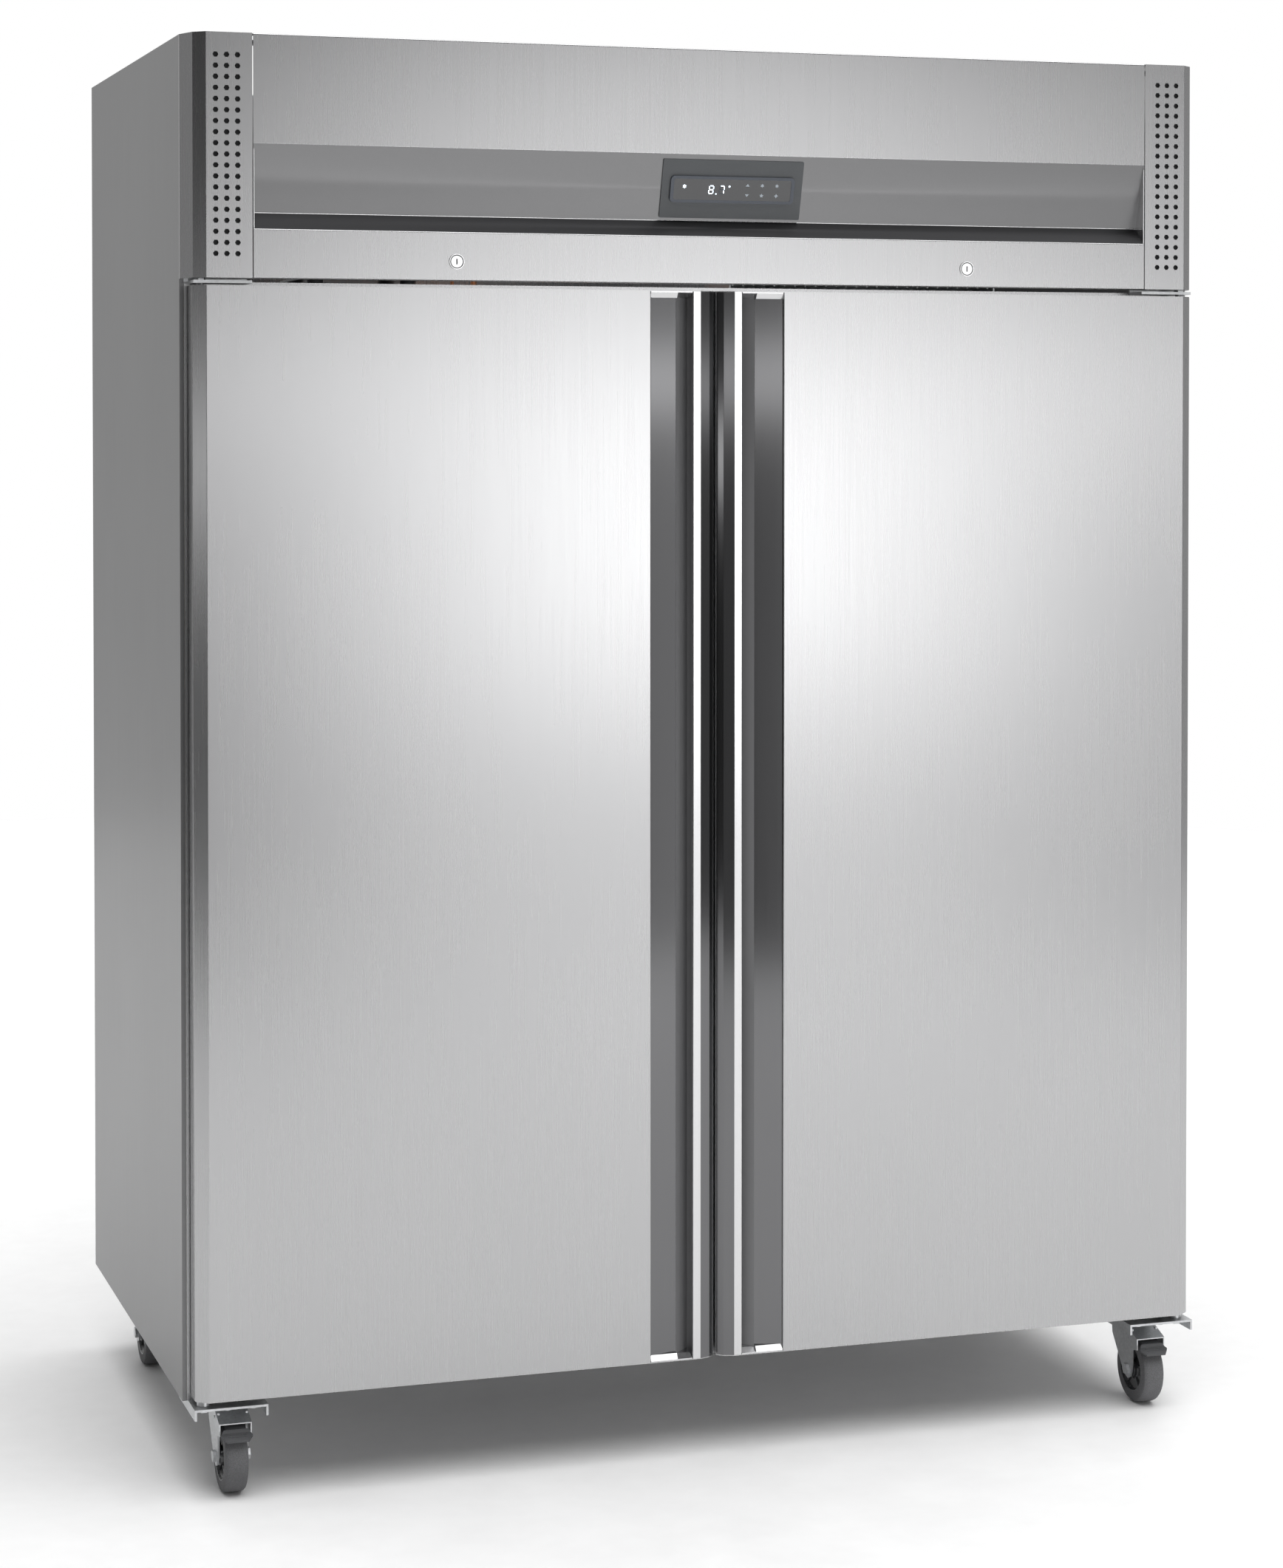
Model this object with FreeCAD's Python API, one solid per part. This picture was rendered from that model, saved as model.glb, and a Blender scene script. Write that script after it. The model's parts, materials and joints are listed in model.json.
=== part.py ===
import FreeCAD, Part
import math
import os

# Two-door upright storage refrigerator on castors, in millimetres.
# X runs left to right seen from the front, and Z is up from the floor.
# Shapes are drawn with Y measured back from the face of the doors, and save()
# moves them so that the origin is under the middle of the whole cabinet.

os.makedirs("parts", exist_ok=True)
V = FreeCAD.Vector

# Overall size
WIDTH = 1510.0
DEPTH = 830.0
HEIGHT = 1990.0
LOCK_PROUD = 2.0
ORIGIN_DEPTH = (DEPTH - LOCK_PROUD) / 2
HALF = WIDTH / 2

# Cabinet shell
SHEET = 1.2
WALL = 60.0
BOTTOM_Z = 130.0
DECK_Z = 1655.0
FRAME_Y = 50.0
FRAME_THICK = 1.5
FLANGE = 6.0
INSIDE_X = HALF - SHEET - WALL - 1.0
LINER = 1.0
FLOOR_Z = BOTTOM_Z + SHEET + WALL
CEILING_Z = DECK_Z - WALL
LINER_BACK_Y = DEPTH - SHEET - WALL
MULLION_HALF = 35.0
MULLION_BACK_Y = 105.0

# Doors
DOOR_TOP = 1650.0
DOOR_BOTTOM = 138.0
DOOR_CAP = 1.2
DOOR_SKIN = 1.0
DOOR_BACK_Y = 44.0
DOOR_GAP_HALF = 1.5
DOOR_EDGE_X = 744.0
DOOR_FACE_EDGE_X = 727.0
EDGE_CHAMFER_Y = 14.0
PIVOT_X = 731.0
PIVOT_Y = 24.0
PIN_RADIUS = 5.0
RUNNING_FIT = 0.05
BUSH_RADIUS = 9.0
BUSH_LENGTH = 16.0
GASKET_OUTER_X = 718.0
GASKET_INNER_X = 8.0
GASKET_WIDTH = 19.0
GASKET_BACK_Y = 49.6

# Handle channel, from the hinge side of the channel to the door's free edge
CHANNEL_X = 99.0
CHANNEL_STEP = 4.5
CHANNEL_FOLD = (59.0, 11.0)
CHANNEL_BOTTOM = (37.0, 26.0)
GRIP_X = 30.0
LIP_X = 36.7
LIP_THICK = 5.0
NOSE = [(25.5, 0.0), (10.5, 5.0), (2.0, 13.0), (DOOR_GAP_HALF, 14.0)]
CHANNEL_END = 10.0
HANDLE_WALL = 2.0

# Hood over the machine compartment
HOOD_BOTTOM = 1660.0
PANEL_HALF = 662.5
HOOD_END_X = 664.0
HOOD_EDGE_X = 727.0
FOLD_Z = 1842.0
LIP_Z = 1750.0
RECESS_Y = 26.0
LEDGE_Z = 1726.0
RETURN = 24.0
PANEL_PIVOT = (14.0, 1978.0)
PANEL_PIN_RADIUS = 4.0
HOLE_SIZE = 4.0
HOLE_COLUMNS = (684.0, 699.0, 714.0)
HOLE_ROWS = 19
HOLE_BOTTOM_Z = 1692.5
HOLE_PITCH = 14.85

# Locks
LOCK_X = 380.0
LOCK_Z = 1686.0
LOCK_RING_RADIUS = 10.5
LOCK_PLUG_RADIUS = 8.0
CAM_Y = 18.0
CAM_LENGTH = 46.0

# Display
DISPLAY_X = 25.0
SURROUND_SIZE = (210.0, 84.0)
CONTROLLER_SIZE = (185.0, 38.0)

# Shelves
SHELF_WIDTH = 650.0
SHELF_DEPTH = 530.0
SHELF_FRONT_Y = 150.0
SHELF_LEVELS = (480.0, 800.0, 1120.0)
SHELF_ROD = 4.0
SHELF_WIRE = 2.0
SHELF_WIRES = 24
POST_HALF = 10.0
PILASTER = 8.0

# Evaporator unit under the ceiling
EVAP_X = 400.0
EVAP_FRONT_Y = 250.0
EVAP_BACK_Y = 720.0
EVAP_BOTTOM_Z = 1480.0
FAN_X = 200.0
FAN_Y = 400.0
FAN_HOLE = 92.0

# Hinges
TOP_HINGE_X = (663.0, 743.0)
TOP_HINGE_Z = (1653.0, 1657.0)
TOP_HINGE_TAB = 30.0
BRACKET_X = (646.0, 747.0)
BRACKET_THICK = 3.0
BRACKET_DEPTH = 135.0
BRACKET_FLANGE = (120.0, 12.0)
PIN_REACH = 12.0
SCREW_XS = (676.0, 700.0, 724.0)
SCREW_Z = 1673.0
BRACKET_SCREWS = ((664.0, 12.0), (664.0, 32.0), (700.0, 12.0))

# Compressor, with heights above the deck
DECK_TOP = DECK_Z + SHEET
COMPRESSOR_X = -430.0
COMPRESSOR_Y = 430.0
COMPRESSOR_RADIUS = 80.0
COMPRESSOR_PLATE = (90.0, 85.0)
FOOT_OFFSET = 70.0
FOOT_HEIGHT = 18.0
CAN_LOW = 21.0
CAN_HIGH = 150.0
DOME_HIGH = 190.0
DOME_RADIUS = 105.0

# Condenser and its fan
CONDENSER_X = (54.0, 470.0)
CONDENSER_Y = (105.0, 195.0)
CONDENSER_HEIGHT = 260.0
CONDENSER_FINS = 26
CONDENSER_FIN_PITCH = 16.0
CONDENSER_TUBES = 5
CONDENSER_TUBE_PITCH = 48.0
SHROUD_Y = (196.0, 216.0)
SHROUD_WALL = 4.0
SHROUD_HOLE = 108.0
CONDENSER_FAN_RADIUS = 100.0

# Pipes, wiring box, gland and rear sheets
TUBE_RADIUS = 5.0
HIGH_PIPE = 224.0
LOW_PIPE = 32.0
LIQUID_RADIUS = 3.0
DISCHARGE_RADIUS = 4.0
WIRING_BOX_X = (-700.0, -560.0)
WIRING_BOX_Y = (600.0, 740.0)
WIRING_BOX_HEIGHT = 160.0
GLAND_X = -630.0
GLAND_HEIGHT = 60.0
GLAND_LENGTH = 25.0
GLAND_BORE = 4.5
GRILLE_SPLIT_X = -560.0
CABLE_NOTCH = 110.0
SLOT_COLUMNS = 7
SLOT_ROWS = 9
SLOT_SIZE = (120.0, 8.0)
SLOT_PITCH = (178.0, 24.0)
SLOT_START = (70.0, 90.0)
LAMP_HALF = 520.0

# Castors
CASTOR_X = 688.0
CASTOR_FRONT_Y = 84.0
CASTOR_REAR_Y = 735.0
TRAIL = 32.0
WHEEL_RADIUS = 50.0
AXLE_RADIUS = 6.0
PLATE_Z = 124.0
BRIDGE_Z = 112.0
LEG_INNER = 18.0
LEG_OUTER = 21.0
NUT_OUTER = 26.0
PEDAL_PIN_Z = 104.5
PEDAL_PIN_LEAD = 2.0
PEDAL_PIN_RADIUS = 2.0
HOUSING_REACH = 34.0
HOUSING_HALF = 22.5
TREAD_HALF = 22.0
TREAD_REACH = 53.0


def box(x0, x1, y0, y1, z0, z1):
    return Part.makeBox(x1 - x0, y1 - y0, z1 - z0, V(x0, y0, z0))


def rod(radius, start, end):
    direction = V(*end) - V(*start)
    return Part.makeCylinder(radius, direction.Length, V(*start), direction)


def plan_prism(points, z0, z1):
    """A prism whose outline is given as (x, y) points."""
    corners = [V(x, y, z0) for x, y in points]
    wire = Part.makePolygon(corners + corners[:1])
    return Part.Face(wire).extrude(V(0, 0, z1 - z0))


def side_prism(points, x0, x1):
    """A prism whose outline is given as (y, z) points."""
    corners = [V(x0, y, z) for y, z in points]
    wire = Part.makePolygon(corners + corners[:1])
    return Part.Face(wire).extrude(V(x1 - x0, 0, 0))


def bent_sheet(points, thickness):
    """The outline of a bent sheet: the given line, and the same line moved to its left."""
    moved = []
    for i, (x, y) in enumerate(points):
        normals = []
        for a, b in ((i - 1, i), (i, i + 1)):
            if a >= 0 and b < len(points):
                dx = points[b][0] - points[a][0]
                dy = points[b][1] - points[a][1]
                length = math.hypot(dx, dy)
                normals.append((-dy / length, dx / length))
        nx = sum(n[0] for n in normals) / len(normals)
        ny = sum(n[1] for n in normals) / len(normals)
        scale = thickness / (nx * nx + ny * ny)
        moved.append((x + nx * scale, y + ny * scale))
    return points + moved[::-1]


def mirror(shape):
    return shape.mirror(V(0, 0, 0), V(1, 0, 0))


def both(shapes):
    return shapes + [mirror(s) for s in shapes]


def fuse(shapes):
    return shapes[0].multiFuse(shapes[1:]).removeSplitter()


def save(name, shapes):
    shape = Part.makeCompound(shapes) if len(shapes) > 1 else shapes[0]
    shape.translate(V(0, -ORIGIN_DEPTH, 0))
    shape.exportStep("parts/" + name + ".step")


def save_pair(name, shapes):
    """A right-hand piece and its mirror image on the left."""
    save(name + "_left", [mirror(s) for s in shapes])
    save(name + "_right", [s.copy() for s in shapes])


def cabinet_shell():
    outline = bent_sheet([(HALF - FLANGE, FRAME_Y), (HALF, FRAME_Y), (HALF, DEPTH)], SHEET)
    save_pair("side_panel", [plan_prism(outline, BOTTOM_Z, HEIGHT)])
    inner = HALF - SHEET
    rear = DEPTH - SHEET
    save("back_panel", [box(-inner, inner, rear, DEPTH, BOTTOM_Z, DECK_Z)])
    save("bottom_panel", [box(-inner, inner, FRAME_Y + FRAME_THICK, rear, BOTTOM_Z, BOTTOM_Z + SHEET)])
    deck = box(-inner, inner, FRAME_Y + FRAME_THICK, rear, DECK_Z, DECK_Z + SHEET)
    save("deck_panel", [deck])


def insulated_box():
    front = FRAME_Y + FRAME_THICK
    outer = HALF - SHEET
    low = BOTTOM_Z + SHEET
    rear = DEPTH - SHEET
    side = box(INSIDE_X + LINER, outer, front, rear, low, DECK_Z)
    back = box(-INSIDE_X - LINER, INSIDE_X + LINER, LINER_BACK_Y, rear, low, DECK_Z)
    floor = box(-INSIDE_X - LINER, INSIDE_X + LINER, front, LINER_BACK_Y, low, FLOOR_Z)
    ceiling = box(-INSIDE_X - LINER, INSIDE_X + LINER, front, LINER_BACK_Y, CEILING_Z, DECK_Z)
    save("insulation", both([side]) + [back, floor, ceiling])
    side = box(INSIDE_X, INSIDE_X + LINER, front, LINER_BACK_Y, FLOOR_Z, CEILING_Z)
    back = box(-INSIDE_X, INSIDE_X, LINER_BACK_Y - LINER, LINER_BACK_Y, FLOOR_Z, CEILING_Z)
    floor = box(-INSIDE_X, INSIDE_X, front, LINER_BACK_Y - LINER, FLOOR_Z, FLOOR_Z + LINER)
    ceiling = box(-INSIDE_X, INSIDE_X, front, LINER_BACK_Y - LINER, CEILING_Z - LINER, CEILING_Z)
    save("inner_liner", both([side]) + [back, floor, ceiling])


def front_frame():
    front, back = FRAME_Y, FRAME_Y + FRAME_THICK
    edge = HALF - FLANGE - 0.3
    post = box(INSIDE_X, edge, front, back, BOTTOM_Z, DECK_Z)
    sill = box(-INSIDE_X, INSIDE_X, front, back, BOTTOM_Z, FLOOR_Z + LINER)
    header = box(-INSIDE_X, INSIDE_X, front, back, CEILING_Z - LINER, DECK_Z)
    mullion = box(-MULLION_HALF, MULLION_HALF, front, MULLION_BACK_Y,
                  FLOOR_Z + LINER, CEILING_Z - LINER)
    save("front_frame", both([post]) + [sill, header, mullion])


def handle_void():
    """The open space of the finger channel, seen from above."""
    return [(CHANNEL_X, 0), (CHANNEL_X, CHANNEL_STEP), CHANNEL_FOLD, CHANNEL_BOTTOM,
            (GRIP_X, CHANNEL_BOTTOM[1]), (GRIP_X, LIP_THICK), (LIP_X, LIP_THICK), (LIP_X, 0)]


def door_handle():
    """The full-height grip: bent strips butted edge to edge, from the channel to the free edge."""
    low, high = DOOR_BOTTOM + DOOR_CAP, DOOR_TOP - DOOR_CAP
    wall = HANDLE_WALL
    deep = CHANNEL_BOTTOM[1]
    web_x = GRIP_X - wall
    fold_back = (CHANNEL_FOLD[0] + 1, CHANNEL_FOLD[1] + wall)
    deep_back = (CHANNEL_BOTTOM[0] + 0.8, deep + wall)
    nose_top, nose_fold, nose_low, edge_front = NOSE
    bevel_back = (nose_fold[0] + 0.7, nose_fold[1] + 2.3)
    side_back = (edge_front[0] + wall, edge_front[1] + 1)
    back = DOOR_BACK_Y - 1
    sections = [
        [(CHANNEL_X, CHANNEL_STEP), CHANNEL_FOLD, fold_back, (CHANNEL_X, CHANNEL_STEP + wall)],
        [CHANNEL_FOLD, CHANNEL_BOTTOM, deep_back, fold_back],
        [CHANNEL_BOTTOM, (web_x, deep), (web_x, deep + wall), deep_back],
        [(web_x, LIP_THICK), (GRIP_X, LIP_THICK), (GRIP_X, deep), (web_x, deep)],
        [(LIP_X, 0), (LIP_X, LIP_THICK), (web_x, LIP_THICK), (nose_top[0], LIP_THICK), nose_top],
        [nose_top, (nose_top[0], wall + 0.3), bevel_back, nose_fold],
        [nose_fold, bevel_back, side_back, edge_front, nose_low],
        [edge_front, side_back, (side_back[0], back), (edge_front[0], back)],
    ]
    strips = [plan_prism(section, low, high) for section in sections]
    void = plan_prism(handle_void(), low, high)
    reach = deep + 1
    upper_ramp = [(0, high), (0, high - 1), (reach, high - CHANNEL_END), (reach, high)]
    lower_ramp = [(0, low), (0, low + 1), (reach, low + CHANNEL_END), (reach, low)]
    upper = side_prism(upper_ramp, GRIP_X, CHANNEL_X)
    lower = side_prism(lower_ramp, GRIP_X, CHANNEL_X)
    return strips + [void.common(upper), void.common(lower)]


def lock_pocket():
    """Room in the top of the door for the lock's cam."""
    return box(LOCK_X - 12, LOCK_X + 34, CAM_Y - 4, CAM_Y + 7, DOOR_TOP - 14, DOOR_TOP + 1)


def bush_hole(z0, z1):
    return rod(BUSH_RADIUS, (PIVOT_X, PIVOT_Y, z0), (PIVOT_X, PIVOT_Y, z1))


def door_parts():
    outline = [(CHANNEL_X, 0), (DOOR_FACE_EDGE_X, 0), (DOOR_EDGE_X, EDGE_CHAMFER_Y),
               (DOOR_EDGE_X, DOOR_BACK_Y - 1)]
    cap_outline = outline + [(DOOR_GAP_HALF, DOOR_BACK_Y - 1)] + NOSE[::-1] + [(LIP_X, 0)]
    face_line = [(CHANNEL_X, CHANNEL_STEP)] + outline
    wrap = plan_prism(bent_sheet(face_line, DOOR_SKIN), DOOR_BOTTOM + DOOR_CAP, DOOR_TOP - DOOR_CAP)
    top = plan_prism(cap_outline, DOOR_TOP - DOOR_CAP, DOOR_TOP)
    bottom = plan_prism(cap_outline, DOOR_BOTTOM, DOOR_BOTTOM + DOOR_CAP)
    top_hole = bush_hole(DOOR_TOP - BUSH_LENGTH, DOOR_TOP + 1)
    bottom_hole = bush_hole(DOOR_BOTTOM - 1, DOOR_BOTTOM + BUSH_LENGTH)
    pocket = lock_pocket()
    pocket_left = pocket.copy()
    pocket_left.translate(V(-2 * LOCK_X, 0, 0))
    skin = fuse([wrap, top, bottom]).cut(top_hole).cut(bottom_hole)
    core_low, core_high = DOOR_BOTTOM + DOOR_CAP, DOOR_TOP - BUSH_LENGTH
    back = DOOR_BACK_Y - 1
    front = DOOR_SKIN + 0.2
    side = DOOR_EDGE_X - DOOR_SKIN - 0.2
    body_x = CHANNEL_X + 1.5
    core_outline = [(body_x, front), (DOOR_FACE_EDGE_X - 0.5, front), (side, EDGE_CHAMFER_Y + 0.6),
                    (side, back), (body_x, back)]
    core = plan_prism(core_outline, core_low, core_high).cut(bottom_hole)
    behind_handle = box(4, body_x, CHANNEL_BOTTOM[1] + 2.4, back, core_low, core_high)
    save("door_skin_right", [skin.cut(pocket)])
    save("door_skin_left", [mirror(skin).cut(pocket_left)])
    save_pair("door_core", [core, behind_handle])
    save_pair("door_handle", door_handle())
    panel = box(DOOR_GAP_HALF, DOOR_EDGE_X, DOOR_BACK_Y - 1, DOOR_BACK_Y, DOOR_BOTTOM, DOOR_TOP)
    field = box(60, GASKET_OUTER_X - 52, DOOR_BACK_Y, DOOR_BACK_Y + 4, DOOR_BOTTOM + 70, DOOR_TOP - 70)
    save_pair("door_inner_panel", [fuse([panel, field])])
    save_pair("door_gasket", gasket_sides())
    save_pair("door_bushes", door_bushes())


def gasket_sides():
    """Four strips of magnetic gasket, butted at the corners."""
    front, back = DOOR_BACK_Y, GASKET_BACK_Y
    low, high = DOOR_BOTTOM + 10, DOOR_TOP - 10
    inner, outer, wide = GASKET_INNER_X, GASKET_OUTER_X, GASKET_WIDTH
    return [box(inner, inner + wide, front, back, low, high),
            box(outer - wide, outer, front, back, low, high),
            box(inner + wide, outer - wide, front, back, low, low + wide),
            box(inner + wide, outer - wide, front, back, high - wide, high)]


def door_bushes():
    bore = rod(PIN_RADIUS + RUNNING_FIT, (PIVOT_X, PIVOT_Y, 0), (PIVOT_X, PIVOT_Y, HEIGHT))
    top = bush_hole(DOOR_TOP - BUSH_LENGTH, DOOR_TOP)
    bottom = bush_hole(DOOR_BOTTOM, DOOR_BOTTOM + BUSH_LENGTH)
    return [top.cut(bore), bottom.cut(bore)]


def hinges():
    low, high = TOP_HINGE_Z
    inner, outer = TOP_HINGE_X
    plate = box(inner, outer, 8, FRAME_Y, low, high)
    tab = box(inner, outer, FRAME_Y - 3, FRAME_Y, high, high + TOP_HINGE_TAB)
    pin = rod(PIN_RADIUS, (PIVOT_X, PIVOT_Y, DOOR_TOP - PIN_REACH), (PIVOT_X, PIVOT_Y, high))
    head = hexagon(PIVOT_X, PIVOT_Y, 7.5, high, high + 2.5)
    save("top_hinges", both([fuse([plate, tab, pin, head])]))
    low, high = BOTTOM_Z - BRACKET_THICK, BOTTOM_Z
    inner, outer = BRACKET_X
    plate = box(inner, outer, 0, BRACKET_DEPTH, low, high)
    run, drop = BRACKET_FLANGE
    flanges = []
    for x in (inner, outer - BRACKET_THICK):
        flanges.append(box(x, x + BRACKET_THICK, 0, run, low - drop, low))
    pin = rod(PIN_RADIUS, (PIVOT_X, PIVOT_Y, low), (PIVOT_X, PIVOT_Y, DOOR_BOTTOM + PIN_REACH))
    washer = rod(BUSH_RADIUS, (PIVOT_X, PIVOT_Y, high), (PIVOT_X, PIVOT_Y, DOOR_BOTTOM - 0.3))
    nut = hexagon(PIVOT_X, PIVOT_Y, 8.5, low - 6, low)
    save("bottom_hinges", both([fuse([plate, pin, washer, nut] + flanges)]))


def hexagon(x, y, radius, z0, z1):
    points = []
    for k in range(6):
        angle = math.radians(60 * k)
        points.append((x + radius * math.cos(angle), y + radius * math.sin(angle)))
    return plan_prism(points, z0, z1)


def perforated_front():
    """The front of a hood end, with its rows of hexagonal holes."""
    corners = [(HOOD_END_X, HOOD_BOTTOM), (HOOD_EDGE_X, HOOD_BOTTOM),
               (HOOD_EDGE_X, HEIGHT), (HOOD_END_X, HEIGHT)]
    wires = [Part.makePolygon([V(x, 0, z) for x, z in corners + corners[:1]])]
    for column in HOLE_COLUMNS:
        for row in range(HOLE_ROWS):
            centre_z = HOLE_BOTTOM_Z + row * HOLE_PITCH
            ring = []
            for k in range(7):
                angle = math.radians(60 * k)
                x = column + HOLE_SIZE * math.cos(angle)
                ring.append(V(x, 0, centre_z + HOLE_SIZE * math.sin(angle)))
            wires.append(Part.makePolygon(ring))
    face = Part.Face(wires, "Part::FaceMakerBullseye")
    return face.extrude(V(0, SHEET, 0))


def hood():
    side_line = [(HOOD_EDGE_X, 0), (HALF - 12, 13), (HALF, FRAME_Y - 4), (HALF, FRAME_Y - 0.3)]
    side = plan_prism(bent_sheet(side_line, SHEET), HOOD_BOTTOM, HEIGHT)
    inner = box(HOOD_END_X, HOOD_END_X + SHEET, 0, RETURN + 8, HOOD_BOTTOM, HEIGHT)
    base_line = [(HOOD_END_X, 0), (HOOD_EDGE_X, 0), (HALF - 12, 13), (HALF - 4, 40), (HOOD_END_X, 40)]
    base = plan_prism(base_line, HOOD_BOTTOM, HOOD_BOTTOM + SHEET)
    pin_y, pin_z = PANEL_PIVOT
    pin = rod(PANEL_PIN_RADIUS, (HOOD_END_X - 8, pin_y, pin_z), (HOOD_END_X + 4, pin_y, pin_z))
    save_pair("hood_end", [fuse([perforated_front(), side, inner, base, pin])])


def fascia_line():
    return [(RETURN, HEIGHT - 0.2), (0, HEIGHT - 0.2), (0, FOLD_Z), (RECESS_Y, LIP_Z), (0, LEDGE_Z),
            (0, HOOD_BOTTOM), (RETURN, HOOD_BOTTOM)]


def fascia():
    """The service panel: a folded sheet hung on two pins behind its top edge."""
    sheet = side_prism(bent_sheet(fascia_line(), SHEET), -PANEL_HALF, PANEL_HALF)
    pin_y, pin_z = PANEL_PIVOT
    ends = []
    for side in (-1, 1):
        x0, x1 = sorted((side * PANEL_HALF, side * (PANEL_HALF - SHEET)))
        ends.append(side_prism([(0, FOLD_Z), (RECESS_Y, LIP_Z), (0, LEDGE_Z)], x0, x1))
        x0, x1 = sorted((side * PANEL_HALF, side * (PANEL_HALF - 4)))
        ear = box(x0, x1, SHEET / 2, RETURN, pin_z - 10, HEIGHT - 0.5)
        bore = rod(PANEL_PIN_RADIUS + RUNNING_FIT, (x0 - 1, pin_y, pin_z), (x1 + 1, pin_y, pin_z))
        ends.append(ear.cut(bore))
    panel = fuse([sheet] + ends)
    for x in (-LOCK_X, LOCK_X):
        panel = panel.cut(rod(LOCK_RING_RADIUS - 1.5, (x, -1, LOCK_Z), (x, 5, LOCK_Z)))
        panel = panel.cut(box(x - 12, x + 46, CAM_Y - 3, RETURN + 1, HOOD_BOTTOM - 1, HOOD_BOTTOM + 3))
    save("fascia_panel", [panel])


def on_slope(shape):
    """Places a flat piece, drawn with its own Y up the slope and Z out of it, on the sloping face."""
    length = math.hypot(RECESS_Y, FOLD_Z - LIP_Z)
    tilt = 90 + math.degrees(math.asin(RECESS_Y / length))
    shape.rotate(V(0, 0, 0), V(1, 0, 0), tilt)
    shape.translate(V(DISPLAY_X, RECESS_Y, LIP_Z))
    return shape


def rounded_plate(width, height, radius, low, high, centre_y):
    """A flat plate with rounded corners, its faces at the two heights."""
    plate = box(-width / 2, width / 2, centre_y - height / 2, centre_y + height / 2, low, high)
    upright = [e for e in plate.Edges if abs(e.tangentAt(e.FirstParameter).z) > 0.99]
    return plate.makeFillet(radius, upright)


def display():
    wide, tall = SURROUND_SIZE
    middle = 4 + tall / 2
    save("display_surround", [on_slope(rounded_plate(wide, tall, 2, 0.1, 2.0, middle))])
    wide, tall = CONTROLLER_SIZE
    bezel = rounded_plate(wide, tall, 6, 2.0, 5.0, middle)
    window = rounded_plate(wide - 10, tall - 8, 3, 4.4, 6.0, middle)
    save("controller", [on_slope(bezel.cut(window))])


def locks():
    rings = []
    for side, x in (("left", -LOCK_X), ("right", LOCK_X)):
        flange = rod(LOCK_RING_RADIUS, (x, -LOCK_PROUD, LOCK_Z), (x, 0, LOCK_Z))
        barrel = rod(LOCK_RING_RADIUS - 1.6, (x, 0, LOCK_Z), (x, CAM_Y - 1, LOCK_Z))
        bore = rod(LOCK_PLUG_RADIUS + RUNNING_FIT, (x, -LOCK_PROUD - 1, LOCK_Z), (x, CAM_Y, LOCK_Z))
        rings.append(fuse([flange, barrel]).cut(bore))
        plug = rod(LOCK_PLUG_RADIUS, (x, -LOCK_PROUD + 0.4, LOCK_Z), (x, CAM_Y, LOCK_Z))
        keyway = box(x - 1, x + 1, -LOCK_PROUD - 1, 6, LOCK_Z - 4, LOCK_Z + 4)
        cam = box(x - 7, x + CAM_LENGTH, CAM_Y - 0.5, CAM_Y + 2.5, LOCK_Z - 6, LOCK_Z + 6)
        save("lock_plug_" + side, [fuse([plug.cut(keyway), cam])])
    save("lock_housings", rings)


def shelf_supports():
    front, back = SHELF_FRONT_Y + 30, SHELF_FRONT_Y + SHELF_DEPTH - 30
    low = FLOOR_Z + LINER
    high = EVAP_BOTTOM_Z - 10
    uprights = []
    for y in (front, back):
        uprights.append(box(INSIDE_X - PILASTER, INSIDE_X, y - 12, y + 12, low, high))
        uprights.append(box(0, POST_HALF, y - 12, y + 12, low, high))
    runners = []
    for z in SHELF_LEVELS:
        outer = INSIDE_X - PILASTER
        wall_side = bent_profile(outer, -1, z)
        centre_side = bent_profile(POST_HALF, 1, z)
        runners += [wall_side, centre_side]
    save("shelf_supports", both(uprights + runners))


def bent_profile(x, direction, z):
    """An angle runner: one leg against the uprights, the other under the shelf."""
    leg = sorted((x, x + direction * 1.5))
    foot = sorted((x + direction * 1.5, x + direction * 26))
    ends = (SHELF_FRONT_Y - 10, SHELF_FRONT_Y + SHELF_DEPTH + 10)
    upright = box(leg[0], leg[1], ends[0], ends[1], z - 18, z + 12)
    flat = box(foot[0], foot[1], ends[0], ends[1], z - 1.5, z)
    return fuse([upright, flat])


def wire_shelf():
    """A welded shelf: a rim and two cross bars, with thinner wires front to back."""
    middle = (INSIDE_X - PILASTER + POST_HALF) / 2
    x0, x1 = middle - SHELF_WIDTH / 2, middle + SHELF_WIDTH / 2
    y0, y1 = SHELF_FRONT_Y, SHELF_FRONT_Y + SHELF_DEPTH
    bars = []
    for y in (y0 + SHELF_ROD, y0 + SHELF_DEPTH / 3, y1 - SHELF_DEPTH / 3, y1 - SHELF_ROD):
        bars.append(rod(SHELF_ROD, (x0, y, SHELF_ROD), (x1, y, SHELF_ROD)))
    for x in (x0 + SHELF_ROD, x1 - SHELF_ROD):
        bars.append(rod(SHELF_ROD, (x, y0, SHELF_ROD), (x, y1, SHELF_ROD)))
    step = (SHELF_WIDTH - 2 * SHELF_ROD) / (SHELF_WIRES + 1)
    top = SHELF_ROD * 2
    for k in range(1, SHELF_WIRES + 1):
        x = x0 + SHELF_ROD + k * step
        bars.append(rod(SHELF_WIRE, (x, y0 + 2, top), (x, y1 - 2, top)))
    return fuse(bars)


def shelves():
    shelf = wire_shelf()
    levels = []
    for z in SHELF_LEVELS:
        levels.append(shelf.copy().translate(V(0, 0, z)))
    save_pair("shelves", levels)


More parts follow.
